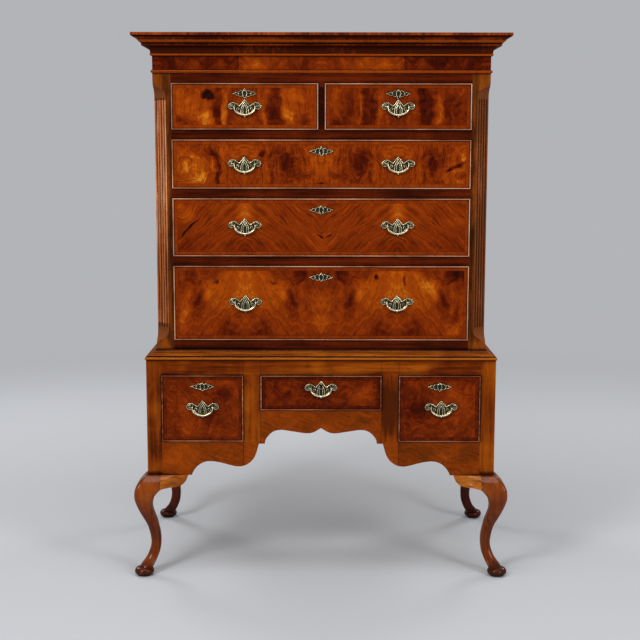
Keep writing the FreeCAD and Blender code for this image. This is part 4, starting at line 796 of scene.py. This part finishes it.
class HIGHBOY_OT_stage(bpy.types.Operator):
    """Lay a plain pale floor that fades into a background of the same colour"""

    bl_idname = "highboy.stage"
    bl_label = "Floor and background"

    def execute(self, context):
        studio = context.scene.highboy_studio
        paper = (*studio.paper, 1)
        material, add, place = new_material("matt_paper_floor")
        far = add("VectorMath", (add("VectorMath", (place, (1.0, 1.0, 0.0)), "MULTIPLY"),), "LENGTH")
        fade = add("MapRange", (far, 0.45 * studio.floor_radius, studio.floor_radius),
                   interpolation_type="SMOOTHSTEP")
        finish(material, add("MixShader", (fade, add("BsdfDiffuse", (paper,)), add("BsdfTransparent"))))
        turn = np.linspace(0, 2 * np.pi, 96, endpoint=False)
        ring = np.linspace(0, studio.floor_radius, 12)[:, None]
        points = np.stack([ring * np.cos(turn), ring * np.sin(turn), 0 * ring * turn], axis=-1)
        vertices, quads = surface(points, False, True)
        mesh = bpy.data.meshes.new("floor")
        mesh.from_pydata(vertices.tolist(), [], quads[:, ::-1].tolist())
        mesh.materials.append(material)
        new_object("floor", mesh)

        world = bpy.data.worlds.new("studio")
        context.scene.world = world
        world.use_nodes = True
        world.node_tree.nodes.clear()
        add = partial(put, world.node_tree)
        seen = add("LightPath", output="Is Camera Ray")
        for ray in ("Is Glossy Ray", "Is Transmission Ray"):
            seen = add("Math", (seen, add("LightPath", output=ray)), "MAXIMUM")
        fill = add("Background", {"Color": (1.0, 1.0, 1.0, 1), "Strength": 0.42})
        add("OutputWorld", (add("MixShader", (seen, fill, add("Background", {"Color": paper}))),))
        return {"FINISHED"}


class HIGHBOY_OT_lights(bpy.types.Operator):
    """Hang soft studio lamps round the chest"""

    bl_idname = "highboy.lights"
    bl_label = "Lights"

    def execute(self, context):
        # Name, place, what it looks at, width, height, watts.
        lamps = (("key_lamp", (-2.1, -3.0, 2.9), (0, -0.2, 0.85), 1.0, 1.5, 88),
                 ("fill_lamp", (2.4, -2.7, 2.2), (0, -0.2, 0.75), 0.9, 1.5, 52),
                 ("top_lamp", (0.0, -0.9, 3.6), (0, 0, 0.8), 2.4, 1.4, 46),
                 ("back_left_lamp", (-2.4, 2.6, 2.4), (0, 0.2, 0.8), 1.3, 1.3, 55),
                 ("back_right_lamp", (2.4, 2.6, 2.4), (0, 0.2, 0.8), 1.3, 1.3, 45))
        for name, where, aim, wide, high, power in lamps:
            data = bpy.data.lights.new(name, "AREA")
            data.shape = "RECTANGLE"
            data.size, data.size_y = wide, high
            data.energy = power
            lamp = new_object(name, data)
            lamp.location = where
            lamp.rotation_euler = (Vector(aim) - Vector(where)).to_track_quat("-Z", "Y").to_euler()
        return {"FINISHED"}


class HIGHBOY_OT_drawer_fronts(bpy.types.Operator):
    """Veneer the drawer fronts with mirrored leaves and polish their cockbeads"""

    bl_idname = "highboy.drawer_fronts"
    bl_label = "Drawer fronts"

    def execute(self, context):
        wood = context.scene.highboy_wood
        # The cockbeads carry painted light. Pale walnut on their forward-facing noses is a painted highlight,
        # paler again on the upright beads. Dark walnut on their flanks is painted shade. shaded_beads is a
        # dimmer painted highlight for the stand's drawers.
        painted_highlight_beads = plain_walnut("walnut_cockbead_painted_highlight", "X", "#865640", "#c29074", shade_span=(0.35, 0.95))
        painted_highlight_upright_beads = plain_walnut("walnut_upright_cockbead_painted_highlight", "Z", "#96664c", "#d2a284", shade_span=(0.2, 0.9))
        shaded_beads = plain_walnut("walnut_shaded_cockbead", "X", "#6e3c28", "#ac7858", shade_span=(0.45, 0.97))
        painted_shade_flanks = plain_walnut("walnut_cockbead_flank_painted_shade", "X", "#3e1206", "#6a2a12", shade_span=(0.45, 0.97))
        edges = oak("oak_drawer_front", "X", wood)
        for drawer, figure in FIGURES.items():
            low, high = (np.array(corner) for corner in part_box(drawer + "_front"))
            middle = (low + high)[[0, 2]] / 2
            half = tuple((high - low)[[0, 2]] / 2 - BEAD_PROUD)
            face = drawer_face(drawer)
            veneer = figured_walnut("walnut_veneer_" + drawer, middle, wood=wood, half=half, **figure)
            across, upright = (shaded_beads,) * 2 if drawer in STAND_DRAWERS else (painted_highlight_beads, painted_highlight_upright_beads)
            p, n = faces(drawer + "_front")
            at_side = np.minimum(p[0] - low[0], high[0] - p[0]) < BEAD_THICK
            at_foot = np.minimum(p[2] - low[2], high[2] - p[2]) < BEAD_THICK
            bead = (at_side | at_foot) & (p[1] < face + BEAD_DEPTH)
            # The forward-facing faces of a bead take the painted highlight; the rest of the bead takes the
            # painted shade.
            nose = bead & (n[1] < -0.6)
            flat = (n[1] < -0.9) & (np.abs(p[1] - face) < 0.3 * MM)
            dress(drawer + "_front", edges, (painted_shade_flanks, bead), (across, nose), (upright, nose & at_side),
                  (veneer, flat))
        return {"FINISHED"}


class HIGHBOY_OT_carcase(bpy.types.Operator):
    """Finish the chest, the stand, the mouldings and the legs"""

    bl_idname = "highboy.carcase"
    bl_label = "Carcase"

    def execute(self, context):
        wood = context.scene.highboy_wood
        stile_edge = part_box("stand_centre_drawer_front")[1][0]
        post_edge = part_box("stand_right_drawer_front")[0][0]
        corner_x, corner_y, _ = (abs(c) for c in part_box("chest_corner_posts")[0])

        # The rail veneer's spot darkens the muntin between the short drawers as painted shadow. Its strong
        # painted corner shade draws dark lines round the cockbeads.
        rails = plain_walnut("walnut_rail_veneer", "X", dim(wood.rail, 0.6), "#621e03", cross=0.15,
                             shade_span=(0.8, 1.0), wander=0.002, spots=[
            (0, 1345, 25, 64, -0.2, 0, 1, 0, 0.75)])
        sides = plain_walnut("walnut_side_veneer", "Z", "#541802", "#7e3204", tone=0.4)
        posts = plain_walnut("walnut_corner_post", "Z", "#4b2106", "#7d3c0a", spots=[
            (452, 655, 30, 45, 0.34), (460, 1410, 30, 50, 0.12), (425, 1040, 9, 500, -0.1)])
        # The canted faces take a paler copy of the post walnut, paler partly as painted light caught from the
        # side. The first spot darkens the right-hand cant as painted shade, and the last makes the left-hand
        # cant darker lower down.
        fluting = plain_walnut("walnut_fluting", "Z", "#a85c30", "#f2b084", shade_span=(-1.5, 0.8), tone=0.3,
                               wander=0.004, spots=[
            (460, 1040, 60, 600, -0.2, 0, 1, 0, 0.8), (460, 1405, 200, 42.5, -0.22, 0, 0, 0, 0.85),
            (460, 695, 200, 40.5, -0.22, 0, 0, 0, 0.85), (-460, 800, 60, 200, -0.08, 0, 1)])
        reddish, tawny = ("#5c1e04", "#8e3d0a"), ("#622a05", "#98500e")
        # The bands along the cornice and astragal paint light and shade. Dark lines are painted shadow in the
        # quirks, the wide dark band is painted shade in the cove, and the upper cyma is a little darker.
        # Light lines are painted highlights on the lower cyma, the bead at the cove's foot and the astragal's
        # top.
        moulding = plain_walnut("walnut_cross_grained_moulding_painted_bands", "Z", *reddish, tone=0.7, wander=0.002,
                                spots=[
            (0, 1536.5, 3000, 3, -0.35, 0, 0, 0, 0.5), (0, 1531.5, 3000, 6, -0.1, 0, 0, 0, 0.5),
            (0, 1523.5, 3000, 4.5, 0.2, 0, 0, 0, 0.5), (0, 1519.2, 3000, 1.8, -0.3, 0, 0, 0, 0.5),
            (0, 1502.5, 3000, 13.5, -0.22, 0, 0, 0, 0.7), (0, 1488.5, 3000, 4, 0.3, 0, 0, 0, 0.5),
            (0, 1443, 3000, 3.5, 0.3, 0, 0, 0, 0.5)])
        top_front = plain_walnut("walnut_cornice_top", "Y", *reddish)
        top_side = plain_walnut("walnut_cornice_side_top", "X", *reddish)
        # Painted light on the waist moulding: a light line is a painted highlight on its bead, and the dark
        # lines either side are painted shadow.
        painted_waist_bands = dict(tone=0.35, shade_span=(0.72, 1.0), wander=0.002, spots=[
            (0, 636, 3000, 3.5, 0.3, 0, 0, 0, 0.5), (0, 630.5, 3000, 1.8, -0.4, 0, 0, 0, 0.5),
            (0, 641.8, 3000, 1.8, -0.4, 0, 0, 0, 0.5)])
        waist = plain_walnut("walnut_waist_moulding", "X", *tawny, **painted_waist_bands)
        waist_side = plain_walnut("walnut_waist_side_moulding", "Y", *tawny, **painted_waist_bands)
        # The stand's frame has strong painted corner shade, which draws dark lines round the drawers'
        # cockbeads.
        honey = plain_walnut("walnut_honey_upright", "Z", "#6e2c03", wood.honey, tone=0.8, shade_span=(0.84, 1.0),
                             spots=[
            (-475, 330, 30, 80, -0.05, 0, 1), (-490, 600, 14, 200, -0.1, 0, 1), (487, 500, 12, 300, -0.03),
            (455, 500, 10, 300, -0.02), (190, 490, 50, 140, -0.1)])
        honey_rail = plain_walnut("walnut_honey_rail", "X", "#642402", wood.honey, tone=0.65,
                                  shade_span=(0.84, 1.0), joints=(stile_edge, post_edge), spots=[
            (-380, 605, 140, 50, -0.06, 0, 1), (275, 612, 45, 20, 0.14, 0, 1), (20, 600, 200, 30, 0.04, 0, 1),
            (350, 605, 60, 40, -0.05, 0, 1, 0, 0.3)])
        ears = plain_walnut("walnut_ear", "X", "#82410c", "#b0691c", coat=0.3)
        legs = plain_walnut("walnut_solid_leg", "Z", "#5c2404", wood.solid, coat=0.34, tone=0.3,
                            shade_span=(0.35, 0.95), spots=[
            (500, 240, 60, 50, 0.1, 0, 0, 0, 0.4), (510, 110, 60, 60, -0.03),
            (510, 10, 70, 35, -0.16, 0, 0, 0, 0.5)])
        # The back legs take a darker copy of the leg walnut as painted shade.
        shaded_legs = plain_walnut("walnut_back_leg_painted_shade", "Z", "#340e03", "#541e05", coat=0.25)
        frieze = figured_walnut(
            "walnut_frieze_veneer", (0.0, 1.461), leaf=0.2305, flow=(0.7, 0.5, 0.0), wood=wood, marble=1.15,
            streaks=0.5, seed=21.0, shift=-0.05, ends=(0.2305, -0.2), spots=[
                (-180, 0, 70, 40, 0.16, 0.03, 1), (150, 5, 80, 40, 0.16, 0.03, 1),
                (-60, 8, 50, 30, -0.1, 0.02, 1), (70, 0, 40, 30, 0.08, 0, 1),
                (-360, 0, 60, 40, 0.12, 0.02, 1), (330, 10, 50, 20, -0.14, 0.02, 1)])
        apron = figured_walnut(
            "walnut_apron_veneer", (0.0, 0.40), leaf=0.0, flow=(0.35, 0.85, 0.0), wood=wood, marble=0.9,
            streaks=0.8, seed=27.0, shift=-0.1, pitch=0.5, glow=0.3, upright=(stile_edge, post_edge), spots=[
                (-410, -50, 80, 50, 0.28, 0, 1), (290, -40, 50, 50, -0.14, 0, 1),
                (-205, -20, 35, 50, -0.22, 0, 1), (-160, 35, 40, 30, -0.1, 0, 1),
                (130, 55, 60, 20, -0.22, 0, 1), (340, -45, 40, 18, 0.16, 0, 1),
                (425, -45, 50, 45, -0.2, 0, 1), (0, 30, 50, 30, 0.1)])
        lining_x = oak("oak_across", "X", wood)
        lining_y = oak("oak_front_to_back", "Y", wood)
        low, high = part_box("back_boards")
        lining_z = oak("oak_upright", "Z", wood, (low[0], (high[0] - low[0]) / 4))

        def at_side(p):
            """Beyond the mitre, where the lengths of a moulding run back along the sides."""
            return np.abs(p[0]) - corner_x > -p[1] - corner_y

        p, n = faces("chest_corner_posts")
        inward = corner_x - np.abs(p[0]) + corner_y + p[1]
        cant = (inward < CANT_REACH) & (n[1] > -0.98) & (np.abs(n[0]) < 0.98) & (n[1] < 0.1)
        dress("chest_corner_posts", posts, (fluting, cant))
        p, n = faces("cornice")
        dress("cornice", moulding, (top_front, n[2] > 0.99), (top_side, (n[2] > 0.99) & at_side(p)))
        dress("waist_moulding", waist, (waist_side, at_side(faces("waist_moulding")[0])))
        dress("frieze", moulding, (frieze, faces("frieze")[1][1] < -0.99))
        p, _ = faces("stand_frame")
        dress("stand_frame", honey, (honey_rail, (p[2] > RAIL_FOOT) & (np.abs(p[0]) < RAIL_HALF)))
        whole = {"chest_drawer_rails": rails, "chest_sides": sides, "stand_side_boards": sides,
                 "stand_apron": apron, "leg_front_left": legs, "leg_front_right": legs,
                 "leg_back_left": shaded_legs, "leg_back_right": shaded_legs, "knee_brackets": ears,
                 "chest_top_and_dust_boards": lining_x, "drawer_runners_and_guides": lining_y,
                 "back_boards": lining_z}
        for node, material in whole.items():
            dress(node, material)
        for drawer in DRAWERS:
            low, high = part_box(drawer + "_box")
            p, _ = faces(drawer + "_box")
            in_side = (p[0] < low[0] + BOX_SIDE) | (p[0] > high[0] - BOX_SIDE)
            dress(drawer + "_box", lining_x, (lining_y, in_side))
        return {"FINISHED"}


class HIGHBOY_OT_brasses(bpy.types.Operator):
    """Cast the pull plates, escutcheons and bails, and darken the lock bolts"""

    bl_idname = "highboy.brasses"
    bl_label = "Brasses"

    def execute(self, context):
        brass = context.scene.highboy_brass
        metal = aged_brass("brass_cast_and_aged", brass)
        iron = worn_iron("iron_lock_bolt")
        for drawer in DRAWERS:
            dress_pulls(drawer, brass, metal)
            for body, hinge in pull_places(drawer):
                dress_bail(body, hinge, metal)
            dress(drawer + "_lock_bolt", iron)
        return {"FINISHED"}


class HIGHBOY_PT_panel(bpy.types.Panel):
    """Everything the highboy's finish is made of"""

    bl_label = "Highboy"
    bl_space_type = "VIEW_3D"
    bl_region_type = "UI"
    bl_category = "Highboy"

    def draw(self, context):
        for operator in OPERATORS:
            self.layout.operator(operator.bl_idname)
        for name, group in GROUPS.items():
            box = self.layout.box()
            for key in group.__annotations__:
                box.prop(getattr(context.scene, name), key)


OPERATORS = (HIGHBOY_OT_camera, HIGHBOY_OT_stage, HIGHBOY_OT_lights, HIGHBOY_OT_drawer_fronts,
             HIGHBOY_OT_carcase, HIGHBOY_OT_brasses)
GROUPS = {"highboy_wood": HighboyWood, "highboy_brass": HighboyBrass, "highboy_studio": HighboyStudio}


def register():
    for item in (*GROUPS.values(), *OPERATORS, HIGHBOY_PT_panel):
        bpy.utils.register_class(item)
    for name, group in GROUPS.items():
        setattr(bpy.types.Scene, name, PointerProperty(type=group))


def unregister():
    for name in GROUPS:
        delattr(bpy.types.Scene, name)
    for item in reversed((*GROUPS.values(), *OPERATORS, HIGHBOY_PT_panel)):
        bpy.utils.unregister_class(item)


def main():
    register()
    bpy.context.scene.view_settings.view_transform = "Standard"
    bpy.ops.highboy.camera()
    bpy.ops.highboy.stage()
    bpy.ops.highboy.lights()
    bpy.ops.highboy.drawer_fronts()
    bpy.ops.highboy.carcase()
    bpy.ops.highboy.brasses()


if __name__ == "__main__":
    main()
